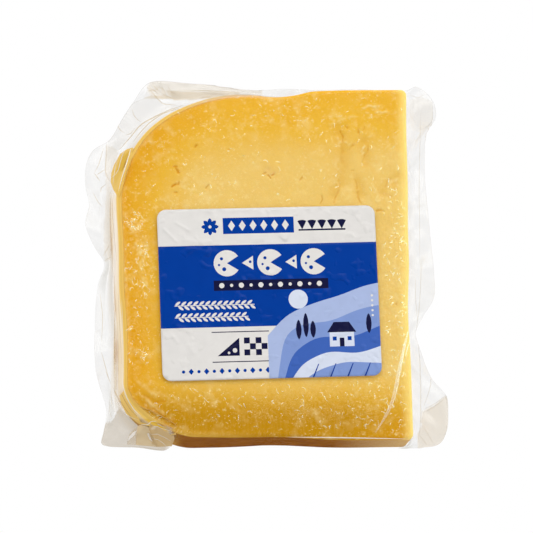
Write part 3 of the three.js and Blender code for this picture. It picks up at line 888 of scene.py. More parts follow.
# Creases painted milky white: a painted highlight along film pulled tight over an edge.
HIGHLIGHT_CREASES = [
    ([(-44.8, 35.2), (-43.5, 35.8), (-40.4, 36.8)], 0.18, 0.16),
    ([(-40.4, 36.7), (-41, 33.5), (-42.2, 28.7), (-43.4, 25.2), (-44.5, 20.5)], 0.24, 0.2),
    ([(-42.3, 35.4), (-43.8, 32.2), (-44.7, 28.4), (-45.6, 27.3), (-47.2, 27)], 0.2, 0.16),
    ([(-44.9, 33.2), (-45.8, 29.6), (-46.4, 24.4)], 0.14, 0.12),
    ([(-43.3, -12), (-43, -18), (-42.6, -31.3), (-42.5, -36.5)], 0.16, 0.14),
    ([(-43.1, -35.4), (-42.3, -39.3), (-41.3, -41.8), (-39.9, -44.1), (-38.5, -45.6), (-37.2, -46.7)],
     0.3, 0.24),
    ([(-34.9, -50.4), (-31.6, -51.9), (-28.3, -53.2)], 0.12, 0.1),
    ([(-34.9, -51.3), (-32, -52.9), (-29.5, -54.3)], 0.1, 0.08),
    ([(-33.7, -49.4), (-30.8, -50.7), (-28, -51.6)], 0.12, 0.1),
    ([(-41.3, -53.8), (-37.6, -53.9), (-34.3, -54.5), (-29.5, -55)], 0.12, 0.1),
    ([(-38.2, -47.6), (-35.8, -48.5), (-32.5, -48.7)], 0.14, 0.12),
    ([(-46, -32.8), (-45.9, -37.9), (-44.4, -40.7), (-42.1, -44.9), (-38.1, -46.8)], 0.16, 0.14),
    ([(-47, -36.4), (-46.8, -40.2), (-45.6, -43.6)], 0.12, 0.1),
    ([(-47.6, -38.6), (-47.3, -43.4), (-46.2, -46)], 0.12, 0.1),
    ([(6, -52.9), (24, -53), (43, -53.1)], 0.16, 0.12),
]
FACE_CREASES = [
    ([(43.2, -18.7), (41.5, -24.8), (40.1, -31.2), (38.2, -41.2), (35.8, -46.3), (32.4, -51.5)],
     0.6, 0.2),
    ([(41.9, -22.7), (40.7, -28.5), (39.8, -33), (38.8, -37.8)], 0.26, 0.18),
    ([(43.6, -21.5), (42.4, -26), (41.5, -30)], 0.18, 0.12),
    ([(42.6, -24.6), (41.6, -28.4)], 0.2, 0.14),
]
CREASE_LOOKS = [
    # creases, how much of the cheese's yellow light is painted in, how milky and loose the film is there,
    # how much it glints, how much painted shade it gets
    (LEFT_MARGIN_CREASES, 0.36, 0.0, 1.0, 0.0, 0.0),
    (RIGHT_MARGIN_CREASES, 0.15, 0.0, 1.0, 0.0, 0.0),
    (RIM_CREASES, 0.5, 0.15, 1.0, 0.0, 0.0),
    (HIGHLIGHT_CREASES, 0.15, 0.7, 0.4, 0.05, 0.0),
    (FACE_CREASES, 0.0, 0.12, 0.0, 0.12, 0.0),
]
WRINKLE_LOOK = (0.0, 0.06, 0.0, 0.24, 0.0)
LOOK_NAMES = ("cheese_light", "milk", "loose", "pinched", "painted_shade")
FLAPS = [
    # outline, how much of the cheese's yellow light is painted in, how milky, how much painted shade; a
    # point without a height lies on the film
    ([(-36.5, 57.5), (-35.3, 59.3), (-20.2, 58.9), (-1, 58.3), (-1, 56.1), (-7.8, 55.7),
      (-15.5, 54.8), (-21.7, 54.1), (-37.6, 53.9), (-36.8, 55.9)], 0.08, 0.04, 0.0),
    ([(-29.1, 56.9), (-20.2, 56.3), (-10.9, 56), (-15.5, 54.8), (-21.7, 54), (-26.3, 53.6),
      (-29.1, 54.7)], 0.16, 0.04, 0.0),
    ([(-35.9, 58.2), (-32.1, 59), (-31.6, 55), (-33.1, 54.9)], 0.0, 0.1, 0.03),
    ([(-49, 40), (-45.7, 44.9), (-41.4, 52.3), (-37.6, 53.9), (-33.1, 53.9), (-31.6, 52.2),
      (-25.1, 52), (-30.9, 49.7), (-35.9, 46.2), (-40.1, 43), (-45, 37.7), (-47.1, 31.1),
      (-47.8, 27.6), (-49.3, 31.1), (-49, 37.1)], 0.05, 0.05, 0.0),
    ([(47.9, -42.7), (51.5, -41), (55.3, -37.7), (55.7, -42), (55.6, -46.9), (54.4, -50.9),
      (51.4, -53), (46.9, -53.5), (46.4, -50.3), (47.3, -46.9)], 0.04, 0.02, 0.0),
    ([(44.7, 54), (48.1, 54.7), (51.4, 53.5), (51.5, 47.8), (50.9, 45.2), (47.7, 44.3),
      (44.6, 48.4)], 0.02, 0.02, 0.0),
    # The web over the rim's upper shoulder, with the amber cheese right behind it painted into it as lit
    # yellow, under some painted shade.
    ([(-40.1, 34.3, 27), (-42.1, 34.4, 24), (-44.3, 33.7, 20), (-46.2, 30.9, 17), (-47, 28.6, 16),
      (-47.2, 25.8, 16), (-46.3, 23, 18), (-44.6, 19.4, 24), (-44, 18.8, 27), (-42.4, 24.3, 27),
      (-40.8, 29.2, 27)], 0.93, 0.88, 0.16),
    ([(-43.7, 33.5, 21), (-41.5, 33.5, 25.5), (-42.3, 29.9, 25), (-44.2, 26.3, 23),
      (-45.6, 24.6, 19), (-46.3, 26.7, 18), (-45.2, 30.2, 19)], 1.0, 0.88, 0.26),
    # The crumpled lower left corner: the web over the chunk's side with the cheese's lit yellow painted
    # in, then folds in painted shade, and white glints painted as milky facets.
    ([(-41.4, -38.6, 28.2), (-40.4, -40.8, 28.1), (-39.5, -42.5, 28), (-38.1, -43.8, 27.9),
      (-36.6, -44.7, 27.8), (-34.5, -45.4, 27.6), (-31.8, -46.7, 27.4), (-29.3, -48.1, 27.2),
      (-27, -49.5, 26.8), (-26.8, -52.2, 9.5), (-31.9, -51.3, 9.5), (-34.9, -48.8, 10),
      (-38.2, -47.5, 10.5), (-41.8, -44.9, 12), (-43.5, -42.1, 14), (-44.1, -39.5, 15)],
     0.88, 0.9, 0.16),
    ([(-41.7, -52.1, 8.8), (-41, -50, 9), (-39, -48.3, 9.5), (-39.1, -51, 9.2), (-39.1, -53.6, 8.7),
      (-41.9, -53.5, 8.5)], 0.35, 0.35, 0.12),
    ([(-38.7, -48, 9.5), (-37.6, -47.5, 11), (-35.2, -48.7, 11), (-34.6, -50.4, 10),
      (-34.3, -53.4, 9), (-32.5, -54.2, 8.5), (-39.1, -53.6, 8.5), (-39.1, -50.9, 9)],
     0.58, 0.78, 0.15),
    ([(-35.2, -48.8, 11.4), (-32.2, -49.1, 11.8), (-28, -50.5, 10.8), (-27.2, -52.5, 9.8),
      (-28.3, -54, 9), (-32.5, -54.2, 8.8), (-34.3, -53.4, 9.3), (-34.6, -50.5, 10.3)],
     0.66, 0.85, 0.42),
    ([(-38.2, -47.7, 11), (-35.8, -48.7, 11), (-32.2, -49.1, 11.5), (-30.1, -50.2, 10.5),
      (-33.7, -49.6, 10.8), (-36.7, -49.1, 10.8)], 0.5, 0.6, 0.0),
    ([(-38.9, -49.4, 10.2), (-40, -49.9, 10), (-41.1, -51.2, 9.8), (-41.6, -52.5, 9.6),
      (-40.7, -51.7, 9.8), (-39.6, -50.8, 10)], 0.0, 0.95, 0.0),
    ([(-36.1, -49.5, 10.8), (-35.3, -49.9, 10.8), (-35, -51.1, 10.4), (-34.1, -52.8, 10),
      (-35, -52.1, 10.2), (-35.6, -51, 10.6)], 0.0, 0.95, 0.0),
]
FLAP_LIFT = 0.12
FLAP_STEP = 0.03
FLAP_LOOSENESS = 0.5
FLAP_GRID = 0.8


def tree_of(points, faces):
    """The film's surface as a tree in which a place on it is found."""
    return BVHTree.FromPolygons([tuple(p) for p in points], faces)


def on_film(skin, x, y):
    """The place on the film's upper side at x and y, and the way the film faces there."""
    place, facing, _, _ = skin.ray_cast(Vector((x, y, 60)), Vector((0, 0, -1)))
    if place is None:
        place, facing, _, _ = skin.find_nearest(Vector((x, y, DROOPED_HEIGHT)))
    return np.array(place), np.array(facing) * (1 if facing.z > 0 else -1)


def smooth_path(points, count):
    """A few points as an evenly spaced curve through them."""
    points = np.array(points, float)
    run = np.concatenate([[0], np.cumsum(np.hypot(*np.diff(points, axis=0).T))])
    at = np.linspace(0, run[-1], count)
    path = np.column_stack([np.interp(at, run, points[:, k]) for k in (0, 1)])
    for _ in range(count // 4):
        path[1:-1] = (path[:-2] + 2 * path[1:-1] + path[2:]) / 4
    return path


def crease_points(skin, path, half_width, height):
    """A low arch that stands on the film along a path and tapers to its ends."""
    path = np.asarray(path, float)
    places, facings = zip(*(on_film(skin, x, y) for x, y in path))
    places, facings = np.array(places), np.array(facings)
    ways = np.gradient(places, axis=0)
    across = np.cross(facings, ways)
    across /= np.maximum(1e-9, np.linalg.norm(across, axis=1))[:, None]
    taper = np.maximum(0.04, np.sin(math.pi * np.linspace(0, 1, len(path))) ** 0.6)[:, None]
    section = [
        places + across * taper * half_width * side + facings * taper * height * up
        for side, up in WRINKLE_SECTION
    ]
    return np.stack(section, axis=1).reshape(-1, 3)


def scattered_wrinkles(rng):
    """Short squiggles all over the tight film, denser in some patches."""
    paths = []
    for low, high, count, mean_turn in WRINKLES_PER_PATCH:
        for _ in range(count):
            place = np.array([rng.uniform(low[0], high[0]), rng.uniform(low[1], high[1])])
            turn = math.radians(mean_turn) + rng.normal(0, 0.8)
            bend = rng.normal(0, 0.9)
            length = rng.uniform(0.5, 2.2)
            half_width, height = rng.uniform(0.1, 0.2), rng.uniform(0.08, 0.15)
            if outside_seat(*place[:, None])[0] < 0.2:
                continue
            step = length / (WRINKLE_POINTS - 1)
            path = [place]
            for _ in range(WRINKLE_POINTS - 1):
                path.append(path[-1] + step * np.array([math.cos(turn), math.sin(turn)]))
                turn += bend * step * 1.6
            paths.append((path, half_width, height, WRINKLE_LOOK))
    return paths


def make_creases(skin, material):
    """All the creases as one mesh of open arches."""
    paths = scattered_wrinkles(np.random.default_rng(SEED + 40))
    for creases, *look in CREASE_LOOKS:
        paths += [(smooth_path(points, 30), width, height, look) for points, width, height in creases]
    points, faces, looks = [], [], []
    sides = len(WRINKLE_SECTION)
    first = 0
    for path, half_width, height, look in paths:
        points.append(crease_points(skin, path, half_width, height))
        for k in range(len(path) - 1):
            here, there = first + k * sides, first + (k + 1) * sides
            faces += [(here + a, here + a + 1, there + a + 1, there + a) for a in range(sides - 1)]
        looks += [look] * (len(path) * sides)
        first += len(path) * sides
    creases = make_piece("film_creases", np.vstack(points), faces, [material])
    for name, values in zip(LOOK_NAMES, zip(*looks)):
        add_point_values(creases, name, values)
    return creases


def anticlockwise(shape):
    """The outline with its points in anticlockwise order, which the cutting needs."""
    area = sum(x0 * y1 - x1 * y0 for (x0, y0), (x1, y1) in zip(shape, shape[1:] + shape[:1]))
    return shape if area > 0 else shape[::-1]


def cut_sheet(shapes, places_in_it):
    """A sheet cut along its outline, the first shape, and along every other shape in it. Returns
    the points, the triangles, and for each triangle the last shape that it lies in."""
    places, polygons = [], []
    for shape in shapes:
        polygons.append(list(range(len(places), len(places) + len(shape))))
        places += [Vector(p) for p in anticlockwise(shape)]
    places += [Vector(p) for p in places_in_it]
    spots, _, triangles, _, _, sources = delaunay_2d_cdt(places, [], polygons, 1, 1e-5)
    kept = [(tuple(t), max(around)) for t, around in zip(triangles, sources) if 0 in around]
    x, y = np.array(spots).T
    return x, y, [t for t, _ in kept], [zone for _, zone in kept]


def make_flaps(skin, material):
    """All the flaps as one mesh of open sheets, each a little above the one before."""
    points, faces, looks = [], [], []
    for order, (outline, cheese_light, milk, painted_shade) in enumerate(FLAPS):
        plan = [corner[:2] for corner in outline]
        given = {corner[:2]: corner[2] for corner in outline if len(corner) == 3}
        low, high = np.min(plan, axis=0), np.max(plan, axis=0)
        grid = [
            (a, b)
            for a in np.arange(low[0], high[0], FLAP_GRID)
            for b in np.arange(low[1], high[1], FLAP_GRID)
        ]
        x, y, triangles, _ = cut_sheet([plan], [] if given else grid)
        lift = FLAP_LIFT + FLAP_STEP * order
        first = len(points)
        for a, b in zip(x, y):
            place, facing = on_film(skin, a, b)
            place = place + facing * lift
            height = given.get((round(float(a), 3), round(float(b), 3)), 0)
            points.append(np.array([a, b, height]) if height > place[2] else place)
        faces += [tuple(first + i for i in t) for t in triangles]
        looks += [(cheese_light, milk, FLAP_LOOSENESS, 0.0, painted_shade)] * len(x)
    flaps = make_piece("film_flaps", points, faces, [material])
    for name, values in zip(LOOK_NAMES, zip(*looks)):
        add_point_values(flaps, name, values)
    return flaps, points, faces


# The label's print, in millimetres from the label's middle, x to its right and y up it

LABEL_HALF_WIDTH = LABEL["width"] / 2
LABEL_HALF_HEIGHT = LABEL["height"] / 2
BLUE_TOP = 14.7
BLUE_BOTTOM = -10.1
PAPER, BLUE, NAVY, SKY, HILL, FIELD, SNOW = range(7)
LABEL_GRID = 1.4  # how finely the label can bend
WRINKLE_GRID = 0.27  # the same at its wrinkles
PAPER_DENTS = [(0.04, 4.0), (0.02, 1.8)]  # how deep the soft dents in it are, and how far apart
LABEL_WRINKLES = [
    # from, to, half width, height
    ((-30.8, 19.8), (-27.4, 16.2), 0.55, 0.2),
    ((-27.2, 21.8), (-23.4, 19.4), 0.5, 0.18),
    ((-24.8, 16.6), (-21.6, 15.8), 0.9, 0.2),
    ((-23.8, 13.6), (-15.8, 12.6), 1.0, 0.2),
    ((-27.6, -9.6), (-25.2, -10.6), 0.7, 0.16),
    ((-24.6, -15.4), (-23.4, -17.6), 0.9, 0.2),
    ((-29.6, -12.2), (-28.0, -14.4), 0.7, 0.16),
    ((30.6, -20.6), (31.8, -23.4), 0.6, 0.16),
    ((21.6, 17.8), (27.0, 16.6), 0.7, 0.1),
]


def rectangle(left, bottom, right, top):
    return [(left, bottom), (right, bottom), (right, top), (left, top)]


def disc(x, y, radius, count=28):
    turns = np.linspace(0, 2 * math.pi, count, endpoint=False)
    return [(x + radius * math.cos(t), y + radius * math.sin(t)) for t in turns]


def diamond(x, y, half_width, half_height):
    return [(x - half_width, y), (x, y - half_height), (x + half_width, y), (x, y + half_height)]


def leaf(x, y, length, width, turn):
    """A pointed oval, its length at a turn in degrees."""
    shape = []
    cos, sin = math.cos(math.radians(turn)), math.sin(math.radians(turn))
    for t in np.linspace(0, 2 * math.pi, 12, endpoint=False):
        along = length / 2 * math.cos(t)
        across = width / 2 * math.sin(t) * abs(math.sin(t)) ** 0.4
        shape.append((x + along * cos - across * sin, y + along * sin + across * cos))
    return shape


def sector(x, y, radius, start, end, count=24):
    """A disc with a slice left out, between two turns in degrees."""
    turns = np.radians(np.linspace(start, end, count))
    return [(x, y)] + [(x + radius * math.cos(t), y + radius * math.sin(t)) for t in turns]


def hill(points):
    """A hill under a smooth crest, down to below the label's edge."""
    floor = -LABEL_HALF_HEIGHT - 3
    crest = smooth_path(points, 26)
    return [(crest[0][0], floor), (crest[-1][0], floor)] + [tuple(p) for p in crest[::-1]]


def print_top_band():
    """A flower, a row of diamonds on a blue field, and wedges on a line."""
    zones = []
    for turn in range(0, 360, 45):
        x, y = -17.1 + 1.5 * math.cos(math.radians(turn)), 20.4 + 1.5 * math.sin(math.radians(turn))
        zones.append((BLUE, leaf(x, y, 2.2, 1.3, turn)))
    zones.append((BLUE, rectangle(-13.2, 18.1, 8.2, 23.0)))
    for k in range(6):
        zones.append((PAPER, diamond(-10.6 + 3.25 * k, 20.55, 1.05, 1.6)))
    zones += [(NAVY, sector(10.7 + 3.0 * k, 19.0, 2.9, 62, 118, 8)) for k in range(5)]
    zones.append((NAVY, rectangle(9.6, 18.6, 23.8, 19.1)))
    return zones


def print_title():
    """Cheese wheels with a slice out of them, and the slices between."""
    zones = []
    for k in range(3):
        x = -12.4 + 13.1 * k
        zones.append((PAPER, sector(x, 9.2, 4.0, 32, 328)))
        zones += [(BLUE, disc(x + dx, 9.2 + dy, r, 12)) for dx, dy, r in
                  ((-1.6, 1.4, 0.5), (-0.9, -1.8, 0.62), (-2.4, -0.5, 0.36))]
    for k in range(2):
        x = -7.9 + 13.1 * k
        zones.append((PAPER, [(x, 9.2), (x + 3.4, 7.1), (x + 3.4, 11.3)]))
        zones.append((BLUE, disc(x + 2.5, 9.5, 0.42, 12)))
    zones.append((NAVY, rectangle(-16.6, 0.9, 17.9, 4.0)))
    zones += [(PAPER, disc(-14.2 + 2.94 * k, 2.45, 0.5 if k % 2 else 0.8, 12)) for k in range(11)]
    return zones


def print_sprigs():
    """Two leafy sprigs, the lower one shorter."""
    zones = []
    for row, y in enumerate((-3.4, -7.0)):
        zones.append((PAPER, rectangle(-28.6, y - 0.12, -4.6 - 2 * row, y + 0.12)))
        for k in range(13 - row):
            x = -27.6 + 1.8 * k
            zones.append((PAPER, leaf(x, y + 0.72, 1.9, 0.8, 35)))
            zones.append((PAPER, leaf(x + 0.9, y - 0.72, 1.9, 0.8, -35)))
    return zones


def print_lower_band():
    """Between two lines a wedge of cheese and a chequer, and dots and diamonds below them."""
    zones = [(NAVY, rectangle(-17.8, y - 0.14, -0.6, y + 0.14)) for y in (-11.6, -20.6)]
    zones.append((NAVY, [(-16.2, -18.8), (-9.6, -18.8), (-9.6, -13.4)]))
    zones.append((PAPER, disc(-11.0, -17.2, 0.7, 14)))
    zones.append((PAPER, disc(-12.8, -17.9, 0.4, 12)))
    for row in range(3):
        for k in range(4):
            if (row + k) % 2 == 0:
                left, low = -8.2 + 1.75 * k, -18.8 + 1.8 * row
                zones.append((NAVY, rectangle(left, low, left + 1.75, low + 1.8)))
    for k in range(15):
        x = -26.6 + 2.3 * k
        zones.append((BLUE, diamond(x, -23.3, 0.8, 0.95) if k % 2 else disc(x, -23.3, 0.5, 12)))
    return zones


def print_view():
    """Fields and hills under a pale sun, with a farmhouse and poplars."""
    zones = [
        (SNOW, disc(8.6, -2.2, 2.9)),
        (FIELD, hill([(-1, -13), (5, -6.6), (14, -3.2), (22, -1.2), (28, 1.4), (34, 2.4)])),
        (SKY, hill([(1.4, -27), (4, -12.4), (10, -9.2), (18, -9.6), (26, -5.6), (34, -4.4)])),
        (HILL, hill([(3.4, -27), (6, -18.4), (14, -13.4), (24, -14.4), (34, -10.4)])),
        (SNOW, hill([(5.4, -27), (9, -21.6), (17, -18.0), (26, -19.2), (34, -16.6)])),
        (SKY, hill([(9, -27), (14, -23.6), (22, -21.4), (34, -22.2)])),
    ]
    for x, foot, height in ((8.4, -14.4, 6.0), (10.6, -13.8, 7.4), (12.7, -14.0, 5.2), (29.6, -13.0, 6.0)):
        zones.append((NAVY, leaf(x, foot + height / 2, height, 1.7, 90)))
    zones += [
        (SNOW, rectangle(17.6, -16.8, 25.0, -12.4)),
        (NAVY, [(16.9, -12.5), (25.7, -12.5), (23.6, -9.4), (19.0, -9.4)]),
        (NAVY, rectangle(20.6, -16.8, 22.0, -14.2)),
        (BLUE, rectangle(18.5, -15.0, 19.7, -13.8)),
        (BLUE, rectangle(23.0, -15.0, 24.2, -13.8)),
    ]
    for k in range(4):
        x = 11.5 + 5.2 * k
        zones.append((BLUE, [(x, -27), (x + 0.5, -27), (x + 2.6, -21.9), (x + 2.3, -21.9)]))
    zones += [(PAPER, disc(30.9, -1.6 - 1.5 * k, 0.36, 8)) for k in range(5)]
    return zones


def label_outline():
    """The label's outline, a rectangle with round corners."""
    points = []
    x, y = LABEL_HALF_WIDTH - LABEL["corner"], LABEL_HALF_HEIGHT - LABEL["corner"]
    for k, (cx, cy) in enumerate(((x, y), (-x, y), (-x, -y), (x, -y))):
        for t in np.radians(np.linspace(90 * k, 90 * k + 90, 9)):
            points.append((cx + LABEL["corner"] * math.cos(t), cy + LABEL["corner"] * math.sin(t)))
    return points


def label_point(x, y, height):
    """A place on the label as it lies turned on the sloping face."""
    cos, sin = math.cos(LABEL_PLACE["turn"]), math.sin(LABEL_PLACE["turn"])
    along, across = x * cos - y * sin, x * sin + y * cos
    slope = math.atan(SLICE_SLOPE)
    lift = height + LABEL["gap"]
    return (
        LABEL_PLACE["x"] + along * math.cos(slope) + lift * math.sin(slope),
        LABEL_PLACE["y"] + across,
        plane_height(LABEL_PLACE["x"]) - along * math.sin(slope) + lift * math.cos(slope),
    )


def label_relief(x, y):
    """How far the paper's dents and wrinkles lift it."""
    relief = sum(
        depth * smooth_noise(x, y, cell, SEED + 50 + k) for k, (depth, cell) in enumerate(PAPER_DENTS)
    )
    for start, end, half_width, height in LABEL_WRINKLES:
        relief += height * np.exp(-((distance_to_line(x, y, start, end) / half_width) ** 2))
    return relief


def make_label(materials):
    """The label's top is cut into zones along the edges of its print, one material to a zone."""
    band = LABEL_HALF_WIDTH + 1
    zones = [(PAPER, label_outline()), (BLUE, rectangle(-band, BLUE_BOTTOM, band, BLUE_TOP))]
    zones += print_top_band() + print_title() + print_sprigs() + print_lower_band() + print_view()
    right, high = LABEL_HALF_WIDTH - 0.6, LABEL_HALF_HEIGHT - 0.6  # just inside its edge
    grid = [
        (a, b)
        for a in np.arange(-right, right, LABEL_GRID)
        for b in np.arange(-high, high, LABEL_GRID)
    ]
    for start, end, half_width, _ in LABEL_WRINKLES:
        low = np.minimum(start, end) - 1.6 * half_width
        top = np.maximum(start, end) + 1.6 * half_width
        grid += [
            (a, b)
            for a in np.arange(low[0], top[0], WRINKLE_GRID)
            for b in np.arange(low[1], top[1], WRINKLE_GRID)
        ]
    x, y, triangles, zone = cut_sheet([shape for _, shape in zones], grid)
    flat_top = LABEL["thickness"] - sum(depth for depth, _ in PAPER_DENTS)
    upper = zip(x, y, flat_top + label_relief(x, y))
    points = [label_point(*place) for place in upper] + [label_point(a, b, 0) for a, b in zip(x, y)]
    edges = {(a, b) for t in triangles for a, b in zip(t, t[1:] + t[:1])}
    faces = list(triangles)
    faces += [tuple(len(x) + i for i in t[::-1]) for t in triangles]
    rim = [(a, b) for a, b in edges if (b, a) not in edges]
    faces += [(b, a, a + len(x), b + len(x)) for a, b in rim]
    label = make_piece("printed_label", points, faces, materials)
    inks = [zones[z][0] for z in zone] + [PAPER] * (len(triangles) + len(rim))
    label.data.polygons.foreach_set("material_index", inks)
    return label


# Materials


def add_node(tree, kind, inputs=None, **settings):
    """Adds a node with its settings. An input is a value, or another node's output to link."""
    node = tree.nodes.new(kind)
    for name, value in settings.items():
        setattr(node, name, value)
    for name, value in (inputs or {}).items():
        if isinstance(value, bpy.types.NodeSocket):
            tree.links.new(value, node.inputs[name])
        else:
            node.inputs[name].default_value = value
    return node


def new_material(name):
    material = bpy.data.materials.new(name)
    material.use_nodes = True
    material.node_tree.nodes.clear()
    return material, material.node_tree


def cheese_material():
    """Hard cheese, cut with a wire: waxy and slightly see-through, with crystals and a dry rind.
    The film that clings to it takes most of its own gloss away."""
    material, tree = new_material("parmesan_paste")
    place = add_node(tree, "ShaderNodeTexCoord").outputs["Object"]
    apart = add_node(tree, "ShaderNodeSeparateXYZ", {"Vector": place})
    from_rind, from_trim, under, torn, pitted, pale, curl_glints = (
        add_node(tree, "ShaderNodeAttribute", attribute_name=name).outputs["Fac"]
        for name in ("from_rind", "from_trim", "under_face", "torn", "pitted", "pale", "curl_glints")
    )

    # The paste is deep golden near the rind, where it dries, and pale straw inside.
    cloud = add_node(
        tree,
        "ShaderNodeTexNoise",
        {"Vector": place, "Scale": 1 / (14 * MM), "Detail": 4.0, "Roughness": 0.6},
    ).outputs["Fac"]
    drift = add_node(
        tree, "ShaderNodeMath", {0: cloud, 1: 12.0, 2: -6.0}, operation="MULTIPLY_ADD"
    ).outputs[0]
    depth = add_node(tree, "ShaderNodeMath", {0: from_rind, 1: drift}, operation="ADD").outputs[0]
    ageing = add_node(
        tree, "ShaderNodeMapRange", {"Value": depth, "From Min": 0.0, "From Max": 22.0}
    ).outputs["Result"]
    paste = add_node(tree, "ShaderNodeValToRGB", {"Fac": ageing})
    stops = paste.color_ramp.elements
    stops[0].color = linear("#e2a015")
    stops[1].color = linear("#ebc56c")
    stops.new(0.5).color = linear("#e8b53c")

    # Painted light and shade: the upper edge is painted a brighter yellow as if lit from above, and the
    # lower part a deeper ochre as painted shade.
    lower = add_node(
        tree,
        "ShaderNodeMapRange",
        {"Value": apart.outputs["Y"], "From Min": -38 * MM, "From Max": -51 * MM},
        interpolation_type="SMOOTHSTEP",
    ).outputs["Result"]
    from_right = add_node(
        tree,
        "ShaderNodeMapRange",
        {"Value": apart.outputs["X"], "From Min": 44 * MM, "From Max": 24 * MM, "To Min": 0.35},
    ).outputs["Result"]
    lower = add_node(tree, "ShaderNodeMath", {0: lower, 1: from_right}, operation="MULTIPLY").outputs[0]
    upper = add_node(
        tree,
        "ShaderNodeMapRange",
        {"Value": apart.outputs["Y"], "From Min": 30 * MM, "From Max": 54 * MM, "To Max": 0.5},
        interpolation_type="SMOOTHSTEP",
    ).outputs["Result"]
    painted_light_top = add_node(
        tree,
        "ShaderNodeMix",
        {0: upper, 6: paste.outputs["Color"], 7: linear("#f3c344")},
        data_type="RGBA",
    ).outputs[2]
    painted_shade_low = add_node(
        tree,
        "ShaderNodeMix",
        {0: lower, 6: painted_light_top, 7: linear("#c18b0d")},
        data_type="RGBA",
    ).outputs[2]

    # Near its lower edge the wire has left fine upright cut marks, about 0.6 millimetres apart.
    stretched = add_node(
        tree, "ShaderNodeVectorMath", {0: place, 1: (1.0, 0.05, 0.2)}, operation="MULTIPLY"
    ).outputs[0]
    marks = add_node(
        tree,
        "ShaderNodeTexNoise",
        {"Vector": stretched, "Scale": 1 / (0.6 * MM), "Detail": 2.0},
    ).outputs["Fac"]
    marked = add_node(
        tree,
        "ShaderNodeMapRange",
        {"Value": marks, "From Min": 0.45, "From Max": 0.75, "To Max": 0.12},
    ).outputs["Result"]
    marked = add_node(tree, "ShaderNodeMath", {0: marked, 1: lower}, operation="MULTIPLY").outputs[0]
    cut_face = add_node(
        tree, "ShaderNodeMix", {0: marked, 6: painted_shade_low, 7: linear("#e8c06a")}, data_type="RGBA"
    ).outputs[2]

    # Crystals and pale grains of curd, from under a millimetre to four, crowded in some places.
    crowd = add_node(
        tree,
        "ShaderNodeTexNoise",
        {"Vector": place, "Scale": 1 / (10 * MM), "Detail": 2.0},
    ).outputs["Fac"]
    crowded = add_node(
        tree,
        "ShaderNodeMapRange",
        {"Value": crowd, "From Min": 0.38, "From Max": 0.62, "To Min": 0.25},
    ).outputs["Result"]
    speckled = cut_face
    for size, least, most, strength in (
        (0.75, 0.60, 0.71, 0.6),
        (2.0, 0.56, 0.74, 0.35),
        (4.5, 0.52, 0.72, 0.3),
    ):
        grains = add_node(
            tree,
            "ShaderNodeTexNoise",
            {"Vector": place, "Scale": 1 / (size * MM), "Detail": 2.0, "Roughness": 0.6},
        ).outputs["Fac"]
        grain = add_node(
            tree,
            "ShaderNodeMapRange",
            {"Value": grains, "From Min": least, "From Max": most, "To Max": strength},
        ).outputs["Result"]
        grain = add_node(tree, "ShaderNodeMath", {0: grain, 1: crowded}, operation="MULTIPLY").outputs[0]
        speckled = add_node(
            tree, "ShaderNodeMix", {0: grain, 6: speckled, 7: linear("#f8e2a0")}, data_type="RGBA"
        ).outputs[2]

    # Painted highlight: where the film has let go of the paste, its curls a fifth of a millimetre wide are
    # painted pale for the light they catch.
    curls = add_node(
        tree,
        "ShaderNodeTexNoise",
        {"Vector": place, "Scale": 1 / (2.4 * MM), "Detail": 1.0, "Distortion": 1.2},
    ).outputs["Fac"]
    for level in (0.42, 0.5, 0.58):
        off = add_node(tree, "ShaderNodeMath", {0: curls, 1: level}, operation="SUBTRACT").outputs[0]
        off = add_node(tree, "ShaderNodeMath", {0: off}, operation="ABSOLUTE").outputs[0]
        curl = add_node(
            tree,
            "ShaderNodeMapRange",
            {"Value": off, "From Min": 0.004, "From Max": 0.016, "To Min": 0.6, "To Max": 0.0},
        ).outputs["Result"]
        curl = add_node(tree, "ShaderNodeMath", {0: curl, 1: curl_glints}, operation="MULTIPLY").outputs[0]
        speckled = add_node(
            tree, "ShaderNodeMix", {0: curl, 6: speckled, 7: linear("#f9e3a4")}, data_type="RGBA"
        ).outputs[2]

    # A millimetre or two from the rim's edge some light comes through the paste.
    at_rim = add_node(
        tree,
        "ShaderNodeMapRange",
        {"Value": from_rind, "From Min": 0.0, "From Max": 2.4, "To Min": 0.6, "To Max": 0.0},
    ).outputs["Result"]
    leftwards = add_node(
        tree,
        "ShaderNodeMapRange",
        {"Value": apart.outputs["X"], "From Min": 0.0, "From Max": -30 * MM},
    ).outputs["Result"]
    glow = add_node(tree, "ShaderNodeMath", {0: at_rim, 1: leftwards}, operation="MULTIPLY").outputs[0]

    # The trimmed side's upper edge is thin enough for light to come through it.
    lit = add_node(
        tree,
        "ShaderNodeMapRange",
        {"Value": from_trim, "From Min": 0.0, "From Max": 4.2, "To Min": 0.95, "To Max": 0.0},
        interpolation_type="SMOOTHSTEP",
    ).outputs["Result"]
    from_face = add_node(
        tree,
        "ShaderNodeMapRange",
        {"Value": under, "From Min": 1.0, "From Max": 7.0, "To Min": 1.0, "To Max": 0.1},
    ).outputs["Result"]
    lit = add_node(tree, "ShaderNodeMath", {0: lit, 1: from_face}, operation="MULTIPLY").outputs[0]

    # Painted shade: a tear's hollow is painted a little deeper in colour and a pit darker. Painted
    # highlight: ridges and lips are painted pale.
    tear_shade = add_node(
        tree, "ShaderNodeMapRange", {"Value": torn, "From Max": 0.9, "To Max": 0.45}
    ).outputs["Result"]
    ridge_highlight = add_node(tree, "ShaderNodeMapRange", {"Value": pale, "To Max": 0.65}).outputs["Result"]
    pit_shade = add_node(
        tree,
        "ShaderNodeMapRange",
        {"Value": pitted, "From Min": 0.1, "From Max": 0.8, "To Max": 0.75},
    ).outputs["Result"]
    face = speckled
    for share, colour in (
        (glow, "#fbd066"),
        (lit, "#ffe283"),
        (tear_shade, "#e0aa38"),
        (ridge_highlight, "#f8e5a4"),
        (pit_shade, "#d28c0e"),
    ):
        face = add_node(
            tree, "ShaderNodeMix", {0: share, 6: face, 7: linear(colour)}, data_type="RGBA"
        ).outputs[2]
